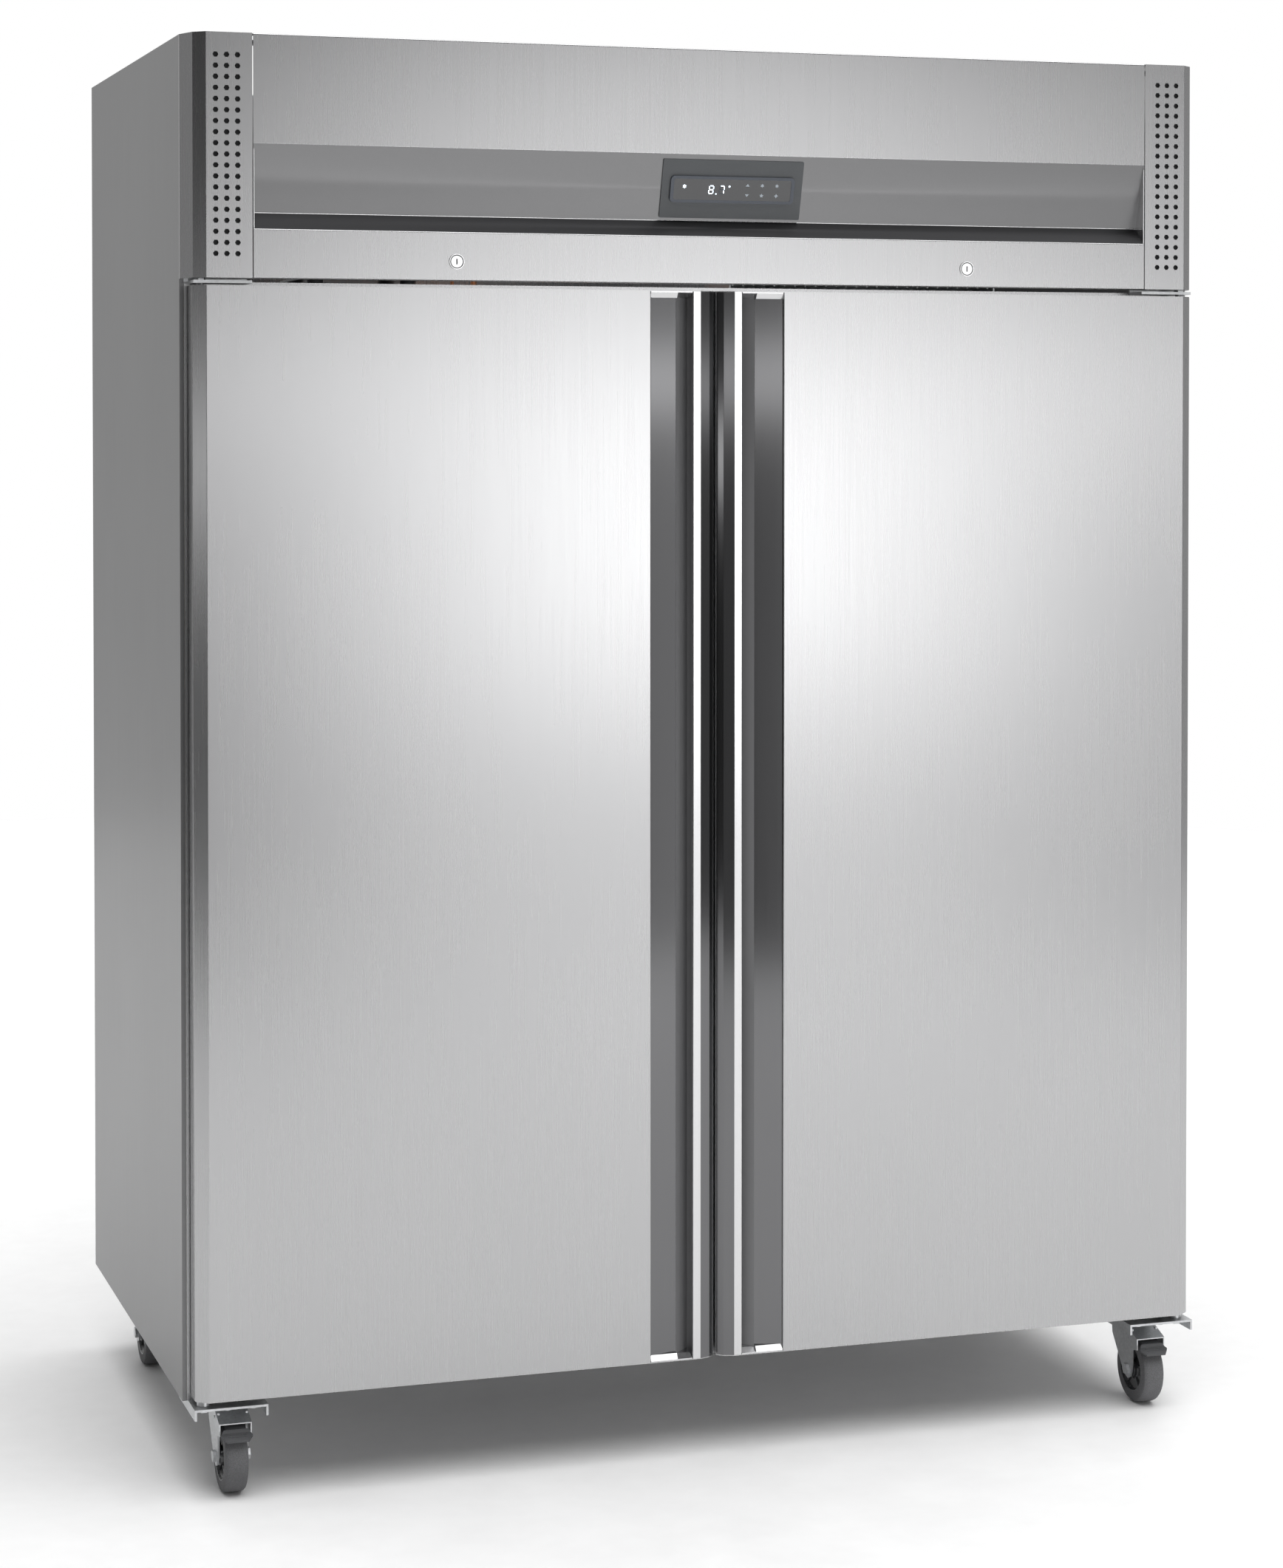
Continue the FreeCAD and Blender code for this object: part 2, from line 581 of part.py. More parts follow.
def fan(radius, hub_radius, thick, blades):
    """An axial fan about its own Z axis, its hub from 0 to thick, with pitched blades."""
    solids = [Part.makeCylinder(hub_radius, thick)]
    reach = radius - hub_radius + 2
    for k in range(blades):
        corner = V(hub_radius - 2, -hub_radius * 0.75, thick / 2 - 1)
        blade = Part.makeBox(reach, hub_radius * 1.5, 2, corner)
        blade.rotate(V(0, 0, thick / 2), V(1, 0, 0), 24)
        blade.rotate(V(0, 0, 0), V(0, 0, 1), k * 360 / blades)
        solids.append(blade)
    return fuse(solids)


def evaporator():
    top = CEILING_Z - LINER
    floor = box(-EVAP_X, EVAP_X, EVAP_FRONT_Y, EVAP_BACK_Y, EVAP_BOTTOM_Z, EVAP_BOTTOM_Z + 1)
    walls = [box(-EVAP_X, EVAP_X, EVAP_FRONT_Y, EVAP_FRONT_Y + 1, EVAP_BOTTOM_Z, top),
             box(-EVAP_X, -EVAP_X + 1, EVAP_FRONT_Y, EVAP_BACK_Y, EVAP_BOTTOM_Z, top),
             box(EVAP_X - 1, EVAP_X, EVAP_FRONT_Y, EVAP_BACK_Y, EVAP_BOTTOM_Z, top)]
    cover = fuse([floor] + walls)
    motors = []
    for side, x in (("left", -FAN_X), ("right", FAN_X)):
        hole = rod(FAN_HOLE, (x, FAN_Y, EVAP_BOTTOM_Z - 1), (x, FAN_Y, EVAP_BOTTOM_Z + 2))
        cover = cover.cut(hole)
        rotor = fan(FAN_HOLE - 7, 24, 26, 5)
        rotor.translate(V(x, FAN_Y, EVAP_BOTTOM_Z + 6))
        save("evaporator_fan_" + side, [rotor])
        motor = rod(30, (x, FAN_Y, EVAP_BOTTOM_Z + 34), (x, FAN_Y, EVAP_BOTTOM_Z + 80))
        bracket = box(x - 8, x + 8, FAN_Y - 60, FAN_Y + 60, EVAP_BOTTOM_Z + 80, EVAP_BOTTOM_Z + 82)
        hanger = rod(10, (x, FAN_Y, EVAP_BOTTOM_Z + 82), (x, FAN_Y, top))
        motors.append(fuse([motor, bracket, hanger]))
    guards = [fan_guard(x) for x in (-FAN_X, FAN_X)]
    save("evaporator_cover", [cover] + guards)
    save("evaporator_coil", evaporator_coil())
    return motors


def fan_guard(x):
    """Concentric wire rings on a cross, under the fan opening."""
    low = EVAP_BOTTOM_Z - 3
    rings = [Part.makeTorus(r, 1.2, V(x, FAN_Y, low)) for r in (30, 50, 70, 90, 100)]
    spokes = []
    for k in range(4):
        angle = math.radians(45 + 90 * k)
        end = (x + 101 * math.cos(angle), FAN_Y + 101 * math.sin(angle), low)
        spokes.append(rod(1.5, (x, FAN_Y, low), end))
    feet = []
    for k in range(4):
        angle = math.radians(45 + 90 * k)
        foot = (x + 99 * math.cos(angle), FAN_Y + 99 * math.sin(angle))
        feet.append(rod(3, foot + (low,), foot + (EVAP_BOTTOM_Z,)))
    return fuse(rings + spokes + feet)


def evaporator_coil():
    """A finned block with return bends at one end."""
    low, high = EVAP_BOTTOM_Z + 14, CEILING_Z - LINER - 14
    y0, y1 = 570, 690
    fins = [box(-360 + k * 24, -358 + k * 24, y0, y1, low, high) for k in range(31)]
    tubes = []
    for y in (600, 660):
        for z in (low + 22, high - 22):
            tubes.append(rod(5, (-375, y, z), (375, y, z)))
    return [fuse(fins + tubes)]


def compressor():
    """A welded can with a domed top on a sprung base plate."""
    x, y, deck = COMPRESSOR_X, COMPRESSOR_Y, DECK_TOP
    feet = []
    for foot_x in (x - FOOT_OFFSET, x + FOOT_OFFSET):
        for foot_y in (y - FOOT_OFFSET, y + FOOT_OFFSET):
            feet.append(rod(12, (foot_x, foot_y, deck), (foot_x, foot_y, deck + FOOT_HEIGHT)))
    half_x, half_y = COMPRESSOR_PLATE
    plate = box(x - half_x, x + half_x, y - half_y, y + half_y, deck + FOOT_HEIGHT, deck + CAN_LOW)
    can = rod(COMPRESSOR_RADIUS, (x, y, deck + CAN_LOW), (x, y, deck + CAN_HIGH))
    dome = Part.makeSphere(DOME_RADIUS, V(x, y, deck + CAN_HIGH - 20))
    dome = dome.common(rod(COMPRESSOR_RADIUS, (x, y, deck + CAN_HIGH), (x, y, deck + DOME_HIGH)))
    terminal = box(x + COMPRESSOR_RADIUS, x + 104, y - 25, y + 25, deck + 60, deck + 130)
    save("compressor", [fuse([plate, can, dome, terminal])] + feet)


def condenser():
    left, right = CONDENSER_X
    front, back = CONDENSER_Y
    middle_y = (front + back) / 2
    low, high = DECK_TOP, DECK_TOP + CONDENSER_HEIGHT
    solids = []
    for k in range(CONDENSER_FINS):
        x = left + 6 + k * CONDENSER_FIN_PITCH
        solids.append(box(x, x + 2, front + 5, back - 5, low + 6, high - 4))
    for k in range(CONDENSER_TUBES):
        z = low + LOW_PIPE + k * CONDENSER_TUBE_PITCH
        solids.append(rod(TUBE_RADIUS, (left - 6, middle_y, z), (right + 4, middle_y, z)))
    for x in (left, right - 2):
        solids.append(box(x, x + 2, front, back, low, high))
    save("condenser", [fuse(solids)])


def condenser_fan():
    """The shroud behind the condenser and its fan; returns the fan's motor on its stand."""
    left, right = CONDENSER_X
    front, back = SHROUD_Y
    low, high = DECK_TOP, DECK_TOP + CONDENSER_HEIGHT
    x, z = (left + right) / 2, (low + high) / 2
    wall = SHROUD_WALL
    shroud = box(left, right, front, back, low, high)
    shroud = shroud.cut(box(left + wall, right - wall, front - 1, back - wall, low + wall, high - wall))
    save("condenser_shroud", [shroud.cut(rod(SHROUD_HOLE, (x, front - 6, z), (x, back + 14, z)))])
    rotor = fan(CONDENSER_FAN_RADIUS, 28, 26, 5)
    rotor.rotate(V(0, 0, 0), V(1, 0, 0), -90)
    rotor.translate(V(x, front + 2, z))
    save("condenser_fan", [rotor])
    motor = rod(38, (x, back + 12, z), (x, back + 84, z))
    stand = box(x - 20, x + 20, back + 46, back + 52, low, z)
    return fuse([motor, stand])


def pipe(points, radius):
    """A bent copper tube along points measured up from the deck: straight runs with round corners."""
    route = [(x, y, DECK_TOP + z) for x, y, z in points]
    solids = []
    for a, b in zip(route, route[1:]):
        solids.append(rod(radius, a, b))
    for p in route[1:-1]:
        solids.append(Part.makeSphere(radius, V(*p)))
    return fuse(solids)


def pipework():
    high, low = HIGH_PIPE, LOW_PIPE
    inlet_x = CONDENSER_X[0] - 7
    inlet_y = sum(CONDENSER_Y) / 2
    discharge = pipe([(-357, 470, 100), (-290, 470, 100), (-290, 300, 100), (-290, 300, high),
                      (40, 300, high), (40, inlet_y, high), (inlet_x, inlet_y, high)], DISCHARGE_RADIUS)
    liquid = pipe([(inlet_x, inlet_y, low), (20, inlet_y, low), (20, 340, low), (-80, 340, low)],
                  LIQUID_RADIUS)
    drier = rod(14, (-80, 340, DECK_TOP + low), (-190, 340, DECK_TOP + low))
    capillary = pipe([(-190, 340, low), (-230, 340, low), (-230, 600, low), (-230, 600, 0)], LIQUID_RADIUS)
    suction = pipe([(-190, 620, 0), (-190, 620, 80), (COMPRESSOR_X, 620, 80), (COMPRESSOR_X, 511.5, 80)],
                   TUBE_RADIUS)
    save("pipework", [discharge, fuse([liquid, drier, capillary]), suction])


def wiring():
    """The wiring box, with a cable gland through its rear face."""
    left, right = WIRING_BOX_X
    front, back = WIRING_BOX_Y
    save("electrical_box", [box(left, right, front, back, DECK_TOP, DECK_TOP + WIRING_BOX_HEIGHT)])
    z = DECK_TOP + GLAND_HEIGHT
    body = rod(9, (GLAND_X, back, z), (GLAND_X, back + GLAND_LENGTH, z))
    nut = hexagon(GLAND_X, -z, 11, back + 2, back + 10)
    nut.rotate(V(0, 0, 0), V(1, 0, 0), -90)
    bore = rod(GLAND_BORE, (GLAND_X, back - 1, z), (GLAND_X, back + GLAND_LENGTH + 1, z))
    save("cable_gland", [fuse([body, nut]).cut(bore)])


def rear_sheets():
    """A louvred sheet behind the machine compartment, and a blank one with a cable notch below it."""
    inner = HALF - SHEET
    high = HEIGHT - 4
    grille = box(GRILLE_SPLIT_X, inner, DEPTH - SHEET, DEPTH, DECK_TOP, high)
    wide, tall = SLOT_SIZE
    for column in range(SLOT_COLUMNS):
        x = GRILLE_SPLIT_X + SLOT_START[0] + column * SLOT_PITCH[0]
        for row in range(SLOT_ROWS):
            z = DECK_TOP + SLOT_START[1] + row * SLOT_PITCH[1]
            grille = grille.cut(box(x, x + wide, DEPTH - 5, DEPTH + 1, z, z + tall))
    blank = box(-inner, GRILLE_SPLIT_X, DEPTH - SHEET, DEPTH, DECK_TOP + CABLE_NOTCH, high)
    save("rear_grille", [grille, blank])


def lamp():
    top = CEILING_Z - LINER
    save("cabinet_lamp", [box(-LAMP_HALF, LAMP_HALF, 125, 150, top - 14, top)])


def fasteners():
    """Dome screws on the hinge tabs and brackets, one group of separate solids."""
    screws = []
    face = FRAME_Y - 3
    for x in SCREW_XS:
        screws.append(rod(4, (x, face, SCREW_Z), (x, face - 2.5, SCREW_Z)))
    under = BOTTOM_Z - BRACKET_THICK
    for x, y in BRACKET_SCREWS:
        screws.append(rod(4.5, (x, y, under), (x, y, under - 3)))
    save("fasteners", both(screws))


def castor_plate(y, top):
    plate = box(CASTOR_X - 38, CASTOR_X + 38, y - 40, y + 40, PLATE_Z, top)
    race = rod(30, (CASTOR_X, y, PLATE_Z - 5.7), (CASTOR_X, y, PLATE_Z))
    king_pin = rod(AXLE_RADIUS, (CASTOR_X, y, 104.8), (CASTOR_X, y, PLATE_Z))
    pin_head = rod(9, (CASTOR_X, y, 104.2), (CASTOR_X, y, 108.7))
    return fuse([plate, race, king_pin, pin_head])


def castor_leg(hub_y):
    """One tapering leg of a fork, as (y, z) points: wide at the bridge, narrow at the axle."""
    return [(hub_y - 14, BRIDGE_Z), (hub_y + 54, BRIDGE_Z), (hub_y + 52, BRIDGE_Z - 20), (hub_y + 13, 41),
            (hub_y, 36), (hub_y - 9, 40), (hub_y - 14, 60)]


def castor_fork(y, braked):
    """Two legs under a bridge and race, with the axle bolt and its nut."""
    hub_y = y - TRAIL
    legs = []
    heads = []
    for side in (-1, 1):
        x0, x1 = sorted((CASTOR_X + side * LEG_INNER, CASTOR_X + side * LEG_OUTER))
        legs.append(side_prism(castor_leg(hub_y), x0, x1))
        x0, x1 = sorted((CASTOR_X + side * LEG_OUTER, CASTOR_X + side * NUT_OUTER))
        heads.append(hex_head(x0, x1, hub_y, WHEEL_RADIUS, 8.5))
    bridge = box(CASTOR_X - LEG_OUTER, CASTOR_X + LEG_OUTER, hub_y + 14, y + 20, BRIDGE_Z - 3, BRIDGE_Z)
    race = rod(27, (CASTOR_X, y, BRIDGE_Z), (CASTOR_X, y, PLATE_Z - 6))
    axle = rod(AXLE_RADIUS, (CASTOR_X - 24, hub_y, WHEEL_RADIUS), (CASTOR_X + 24, hub_y, WHEEL_RADIUS))
    solids = legs + [bridge, race, axle] + heads
    if braked:
        pin_y, pin_z = pedal_pin(y)
        solids.append(rod(PEDAL_PIN_RADIUS, (CASTOR_X - 24, pin_y, pin_z), (CASTOR_X + 24, pin_y, pin_z)))
        solids += brake_housing(hub_y)
    fork = fuse(solids)
    return fork.cut(rod(AXLE_RADIUS + RUNNING_FIT, (CASTOR_X, y, 100), (CASTOR_X, y, PLATE_Z)))


def hex_head(x0, x1, y, z, radius):
    points = []
    for k in range(6):
        angle = math.radians(60 * k)
        points.append((y + radius * math.cos(angle), z + radius * math.sin(angle)))
    return side_prism(points, x0, x1)


def brake_housing(hub_y):
    """A folded cover that slopes forward over the wheel and carries the pedal between its sides."""
    top, tip_y = BRIDGE_Z, hub_y - HOUSING_REACH
    roof_line = [(hub_y + 14, top), (hub_y - 2, top), (tip_y, top - 11)]
    raised = [(y, z + 1.5) for y, z in roof_line[::-1]]
    cheek = [(hub_y + 4, top), (hub_y - 2, top), (tip_y, top - 10.5), (tip_y, top - 26),
             (hub_y - 22, top - 28), (hub_y + 4, top - 18)]
    solids = [side_prism(roof_line + raised, CASTOR_X - HOUSING_HALF, CASTOR_X + HOUSING_HALF)]
    for side in (-1, 1):
        x0, x1 = sorted((CASTOR_X + side * (HOUSING_HALF - 1.7), CASTOR_X + side * HOUSING_HALF))
        solids.append(side_prism(cheek, x0, x1))
    return solids


def pedal_pin(y):
    return y - TRAIL - PEDAL_PIN_LEAD, PEDAL_PIN_Z


def wheel(y):
    """Tread, stepped sides and hub in one turned shape."""
    profile = [(AXLE_RADIUS + RUNNING_FIT, 16.5), (13, 16.5), (15, 12), (30, 10), (34, 15.5), (44, 16),
               (48.5, 12), (WHEEL_RADIUS, 6)]
    outline = profile + [(r, -w) for r, w in profile[::-1]]
    points = [V(w, r, 0) for r, w in outline]
    face = Part.Face(Part.makePolygon(points + points[:1]))
    turned = face.revolve(V(0, 0, 0), V(1, 0, 0), 360)
    turned.translate(V(CASTOR_X, y - TRAIL, WHEEL_RADIUS))
    return turned


def brake_pedal(y):
    """A pressed lever on a cross pin, with a wide ribbed tread in front of the wheel."""
    pin_y, pin_z = pedal_pin(y)
    hub_y = y - TRAIL
    back_y, tip_y = hub_y - HOUSING_REACH - 2, hub_y - TREAD_REACH
    shoulder_y = back_y - 8
    hub = rod(4, (CASTOR_X - 15, pin_y, pin_z), (CASTOR_X + 15, pin_y, pin_z))
    arm = [(pin_y, pin_z + 2), (back_y, 95), (back_y, 92), (pin_y, pin_z - 1.5)]
    tread = [(back_y, 95), (back_y - 4, 91), (tip_y, 83.5), (tip_y, 81), (back_y - 4, 88), (back_y, 92)]
    plate = side_prism(tread, CASTOR_X - TREAD_HALF, CASTOR_X + TREAD_HALF)
    half_outline = [(17, back_y), (TREAD_HALF, shoulder_y), (15, tip_y)]
    outline = [(CASTOR_X - x, front_y) for x, front_y in half_outline[::-1]]
    outline += [(CASTOR_X + x, front_y) for x, front_y in half_outline]
    solids = [hub, side_prism(arm, CASTOR_X - 14, CASTOR_X + 14), plate.common(plan_prism(outline, 70, 110))]
    for k in range(3):
        rib_y = back_y - 5 - k * 3
        rib_z = 90.4 - k * 2
        solids.append(box(CASTOR_X - 13, CASTOR_X + 13, rib_y - 1, rib_y, rib_z - 2, rib_z + 0.9))
    pedal = fuse(solids)
    bore = rod(PEDAL_PIN_RADIUS + RUNNING_FIT, (CASTOR_X - 20, pin_y, pin_z), (CASTOR_X + 20, pin_y, pin_z))
    return pedal.cut(bore)


def castors():
    plates = [castor_plate(CASTOR_FRONT_Y, BOTTOM_Z - 3), castor_plate(CASTOR_REAR_Y, BOTTOM_Z)]
    save("castor_plates", both(plates))
    save_pair("castor_fork_front", [castor_fork(CASTOR_FRONT_Y, True)])
    save_pair("castor_fork_rear", [castor_fork(CASTOR_REAR_Y, False)])
    save_pair("castor_wheel_front", [wheel(CASTOR_FRONT_Y)])
    save_pair("castor_wheel_rear", [wheel(CASTOR_REAR_Y)])
    save_pair("brake_pedal", [brake_pedal(CASTOR_FRONT_Y)])


cabinet_shell()
insulated_box()
front_frame()
door_parts()
hinges()
hood()
fascia()
display()
locks()
shelf_supports()
shelves()
compressor()
condenser()
save("fan_motors", evaporator() + [condenser_fan()])
pipework()
wiring()
rear_sheets()
lamp()
fasteners()
castors()
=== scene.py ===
import json
import math

import bmesh
import bpy
from mathutils import Matrix, Vector
from mathutils.geometry import tessellate_polygon


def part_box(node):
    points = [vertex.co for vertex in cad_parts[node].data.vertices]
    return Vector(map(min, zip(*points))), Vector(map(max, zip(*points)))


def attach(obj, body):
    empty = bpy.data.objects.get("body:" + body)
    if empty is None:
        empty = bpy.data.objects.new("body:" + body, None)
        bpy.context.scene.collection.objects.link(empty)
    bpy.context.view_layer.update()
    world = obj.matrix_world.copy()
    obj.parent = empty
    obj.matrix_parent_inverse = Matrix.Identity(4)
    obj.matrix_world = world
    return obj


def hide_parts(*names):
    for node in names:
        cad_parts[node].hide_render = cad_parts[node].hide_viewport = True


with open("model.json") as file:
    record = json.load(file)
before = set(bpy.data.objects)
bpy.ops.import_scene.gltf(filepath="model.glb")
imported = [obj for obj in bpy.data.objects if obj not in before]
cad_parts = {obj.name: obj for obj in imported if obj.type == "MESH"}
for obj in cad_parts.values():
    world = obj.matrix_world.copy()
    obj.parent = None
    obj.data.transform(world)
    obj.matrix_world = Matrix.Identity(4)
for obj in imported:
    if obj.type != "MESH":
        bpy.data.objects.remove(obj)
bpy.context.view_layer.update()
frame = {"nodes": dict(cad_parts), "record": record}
nodes = frame["nodes"]

# Places and sizes, in metres, read from the frame's own pieces.
FACE_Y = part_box("fascia_panel")[0].y
DOOR_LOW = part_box("door_skin_right")[0].z
DOOR_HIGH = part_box("door_skin_right")[1].z
DOOR_EDGE_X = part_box("door_skin_right")[1].x
DOOR_GAP_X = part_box("door_skin_right")[0].x
DOOR_BACK_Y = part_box("door_inner_panel_right")[0].y
PANEL_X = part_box("fascia_panel")[1].x
HOOD_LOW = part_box("hood_end_right")[0].z
HOOD_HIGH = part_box("hood_end_right")[1].z
CHANNEL_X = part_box("door_handle_right")[1].x

# Other places and sizes, in metres.
MM = 0.001
SHEET = 1.2 * MM
DOOR_DEPTH = DOOR_BACK_Y - FACE_Y - 0.2 * MM
BEVEL_X = 0.727
LOCK_X = 0.380
LOCK_Z = 1.686
CAM_SHORT = 0.012
CAM_LONG = 0.034
FOLD_Z = 1.842
LIP_Z = 1.750
LEDGE_Z = 1.726
RECESS_DEPTH = 26 * MM
CONTROLLER_X = 25 * MM
FLOOR_RADIUS = 6
FLOOR_Y = 1.4

# The sloping face's angle from upright, in radians, and each side's sign and name.
SLOPE_ANGLE = math.atan2(RECESS_DEPTH, FOLD_Z - LIP_Z)
SIDES = ((-1, "left"), (1, "right"))

# The camera stands left of the middle, about 1.5 m up. Its angles are in degrees.
CAMERA_PLACE = (-1.5541, -4.8893, 1.4748)
CAMERA_TURN = 17.848
CAMERA_TILT = 1.208
CAMERA_LENS = 77.06
CAMERA_SHIFT = -0.19

# The room's brightness in front of the doors and behind the cabinet, and the share left at the far left.
ROOM_FRONT = 0.18
ROOM_BACK = 0.75
ROOM_LEFT = 0.35


# ---------------------------------------------------------------- camera, floor and light

def make_camera():
    data = bpy.data.cameras.new("camera")
    data.lens = CAMERA_LENS
    data.sensor_width = 36
    data.shift_y = CAMERA_SHIFT
    camera = bpy.data.objects.new("camera", data)
    camera.location = CAMERA_PLACE
    camera.rotation_euler = (math.radians(90 - CAMERA_TILT), 0, -math.radians(CAMERA_TURN))
    bpy.context.scene.collection.objects.link(camera)
    bpy.context.scene.camera = camera


def make_world():
    """White to the camera; to everything else a dim studio, lighter behind the cabinet."""
    world = bpy.data.worlds.new("studio")
    bpy.context.scene.world = world
    world.use_nodes = True
    tree = world.node_tree
    direction = tree.nodes.new("ShaderNodeTexCoord")
    parts = tree.nodes.new("ShaderNodeSeparateXYZ")
    tree.links.new(direction.outputs["Generated"], parts.inputs[0])
    back = ranged(tree, parts.outputs["Y"], -0.3, 0.8, ROOM_FRONT, ROOM_BACK, "SMOOTHSTEP")
    left = ranged(tree, parts.outputs["X"], -0.95, -0.3, ROOM_LEFT, 1.0, "SMOOTHSTEP")
    room = tree.nodes["Background"]
    room.inputs["Color"].default_value = (1.0, 1.0, 1.0, 1)
    tree.links.new(multiply(tree, back, left), room.inputs["Strength"])
    backdrop = tree.nodes.new("ShaderNodeBackground")
    backdrop.inputs["Color"].default_value = (1.0, 1.0, 1.0, 1)
    backdrop.inputs["Strength"].default_value = 1.0
    path = tree.nodes.new("ShaderNodeLightPath")
    mix = tree.nodes.new("ShaderNodeMixShader")
    tree.links.new(path.outputs["Is Camera Ray"], mix.inputs["Fac"])
    tree.links.new(room.outputs[0], mix.inputs[1])
    tree.links.new(backdrop.outputs[0], mix.inputs[2])
    tree.links.new(mix.outputs[0], tree.nodes["World Output"].inputs["Surface"])


def soft_box(name, place, target, size, radiance):
    """An area light turned towards a point, given by how bright its face is."""
    data = bpy.data.lights.new(name, "AREA")
    data.shape = "RECTANGLE"
    data.size, data.size_y = size
    data.energy = radiance * math.pi * size[0] * size[1]
    light = bpy.data.objects.new(name, data)
    light.location = place
    light.rotation_euler = (Vector(target) - Vector(place)).to_track_quat("-Z", "Y").to_euler()
    light.visible_camera = False
    bpy.context.scene.collection.objects.link(light)


def make_sky():
    """A very wide sun from above, a little to the front and to the right."""
    data = bpy.data.lights.new("sky", "SUN")
    data.energy = 3.0
    data.angle = math.radians(70)
    sky = bpy.data.objects.new("sky", data)
    sky.rotation_euler = (math.radians(12), math.radians(8), 0)
    bpy.context.scene.collection.objects.link(sky)


def make_floor():
    """A pale disc. It ends just in front of the camera, because the doors mirror the floor before them."""
    bpy.ops.mesh.primitive_circle_add(vertices=96, radius=FLOOR_RADIUS, fill_type="NGON",
                                      location=(0, FLOOR_Y, 0))
    floor = bpy.context.object
    floor.name = "floor"
    paint = surface("floor_paint", (0.9, 0.9, 0.9), 0.6, grain=30, shade=0.01, bump=0.01)
    floor.data.materials.append(paint)


def make_stage():
    make_world()
    # Each box has its place, the point that it faces, its width and height, and its brightness.
    soft_box("wide_box", (1.75, -5.6, 1.1), (1.75, -0.4, 1.1), (2.6, 3.2), 1.25)
    soft_box("right_box", (4.3, -5.3, 1.1), (0.0, -0.4, 1.1), (1.5, 3.0), 0.7)
    soft_box("left_strip", (-4.8, -1.9, 1.36), (-0.74, -0.4, 1.36), (3.0, 0.22), 2.4)
    soft_box("front_box", (1.75, -5.5, 1.05), (1.75, -0.4, 1.05), (1.3, 0.9), 2.8)
    soft_box("hood_box", (1.6, -5.5, 2.4), (1.6, -0.4, 2.4), (1.0, 0.7), 1.0)
    soft_box("strip_box", (3.0, -5.45, 1.59), (3.0, -0.4, 1.59), (10.0, 0.2), 2.2)
    make_sky()
    make_floor()
    bpy.context.scene.view_settings.view_transform = "Standard"


# ---------------------------------------------------------------- materials

def new_material(name):
    material = bpy.data.materials.new(name)
    material.use_nodes = True
    tree = material.node_tree
    return material, tree, tree.nodes["Principled BSDF"]


def noise(tree, scale, detail=3.0, stretch=(1, 1, 1)):
    """Noise in the piece's own metres, so that it moves with the piece."""
    place = tree.nodes.new("ShaderNodeTexCoord")
    mapping = tree.nodes.new("ShaderNodeMapping")
    mapping.inputs["Scale"].default_value = stretch
    tree.links.new(place.outputs["Object"], mapping.inputs["Vector"])
    texture = tree.nodes.new("ShaderNodeTexNoise")
    texture.inputs["Scale"].default_value = scale
    texture.inputs["Detail"].default_value = detail
    tree.links.new(mapping.outputs["Vector"], texture.inputs["Vector"])
    return texture.outputs["Fac"]


def ranged(tree, value, start, end, low, high, curve="LINEAR"):
    """Maps start..end to low..high."""
    node = tree.nodes.new("ShaderNodeMapRange")
    node.interpolation_type = curve
    for socket, number in (("From Min", start), ("From Max", end), ("To Min", low), ("To Max", high)):
        node.inputs[socket].default_value = number
    tree.links.new(value, node.inputs["Value"])
    return node.outputs["Result"]


def spread(tree, value, low, high):
    """Maps a noise value to the range low to high."""
    return ranged(tree, value, 0.3, 0.7, low, high)


def tinted(tree, color, factor):
    """A colour multiplied by a varying factor."""
    node = tree.nodes.new("ShaderNodeVectorMath")
    node.operation = "SCALE"
    node.inputs[0].default_value = color
    tree.links.new(factor, node.inputs["Scale"])
    return node.outputs["Vector"]


def multiply(tree, a, b):
    node = tree.nodes.new("ShaderNodeMath")
    node.operation = "MULTIPLY"
    tree.links.new(a, node.inputs[0])
    tree.links.new(b, node.inputs[1])
    return node.outputs[0]


def bumped(tree, shader, height, strength, distance):
    node = tree.nodes.new("ShaderNodeBump")
    node.inputs["Strength"].default_value = strength
    node.inputs["Distance"].default_value = distance
    tree.links.new(height, node.inputs["Height"])
    tree.links.new(node.outputs["Normal"], shader.inputs["Normal"])


GRAIN_STRETCH = 0.012
GRAIN_CONTRAST = 0.012


def brushed(name, tone, rough, along="z", metallic=1.0):
    """Brushed metal: fine grain lines along one axis, faint smudges and uneven polish."""
    material, tree, shader = new_material(name)
    stretch = [1.0, 1.0, 1.0]
    stretch["xyz".index(along)] = GRAIN_STRETCH
    grain = noise(tree, 900, 2, stretch)
    streaks = noise(tree, 380, 3, stretch)
    cloud = noise(tree, 3.2, 4)
    lines = spread(tree, grain, 1 - GRAIN_CONTRAST, 1 + GRAIN_CONTRAST)
    bands = spread(tree, streaks, 1 - GRAIN_CONTRAST / 2, 1 + GRAIN_CONTRAST / 2)
    smudges = spread(tree, cloud, 0.988, 1.012)
    shade = multiply(tree, multiply(tree, lines, bands), smudges)
    tree.links.new(tinted(tree, tone, shade), shader.inputs["Base Color"])
    wear = spread(tree, streaks, rough * 0.97, rough * 1.03)
    polish = multiply(tree, wear, spread(tree, cloud, 0.98, 1.03))
    tree.links.new(polish, shader.inputs["Roughness"])
    shader.inputs["Metallic"].default_value = metallic
    shader.inputs["Anisotropic"].default_value = 0.5
    bumped(tree, shader, grain, 0.02, 0.00002)
    return material


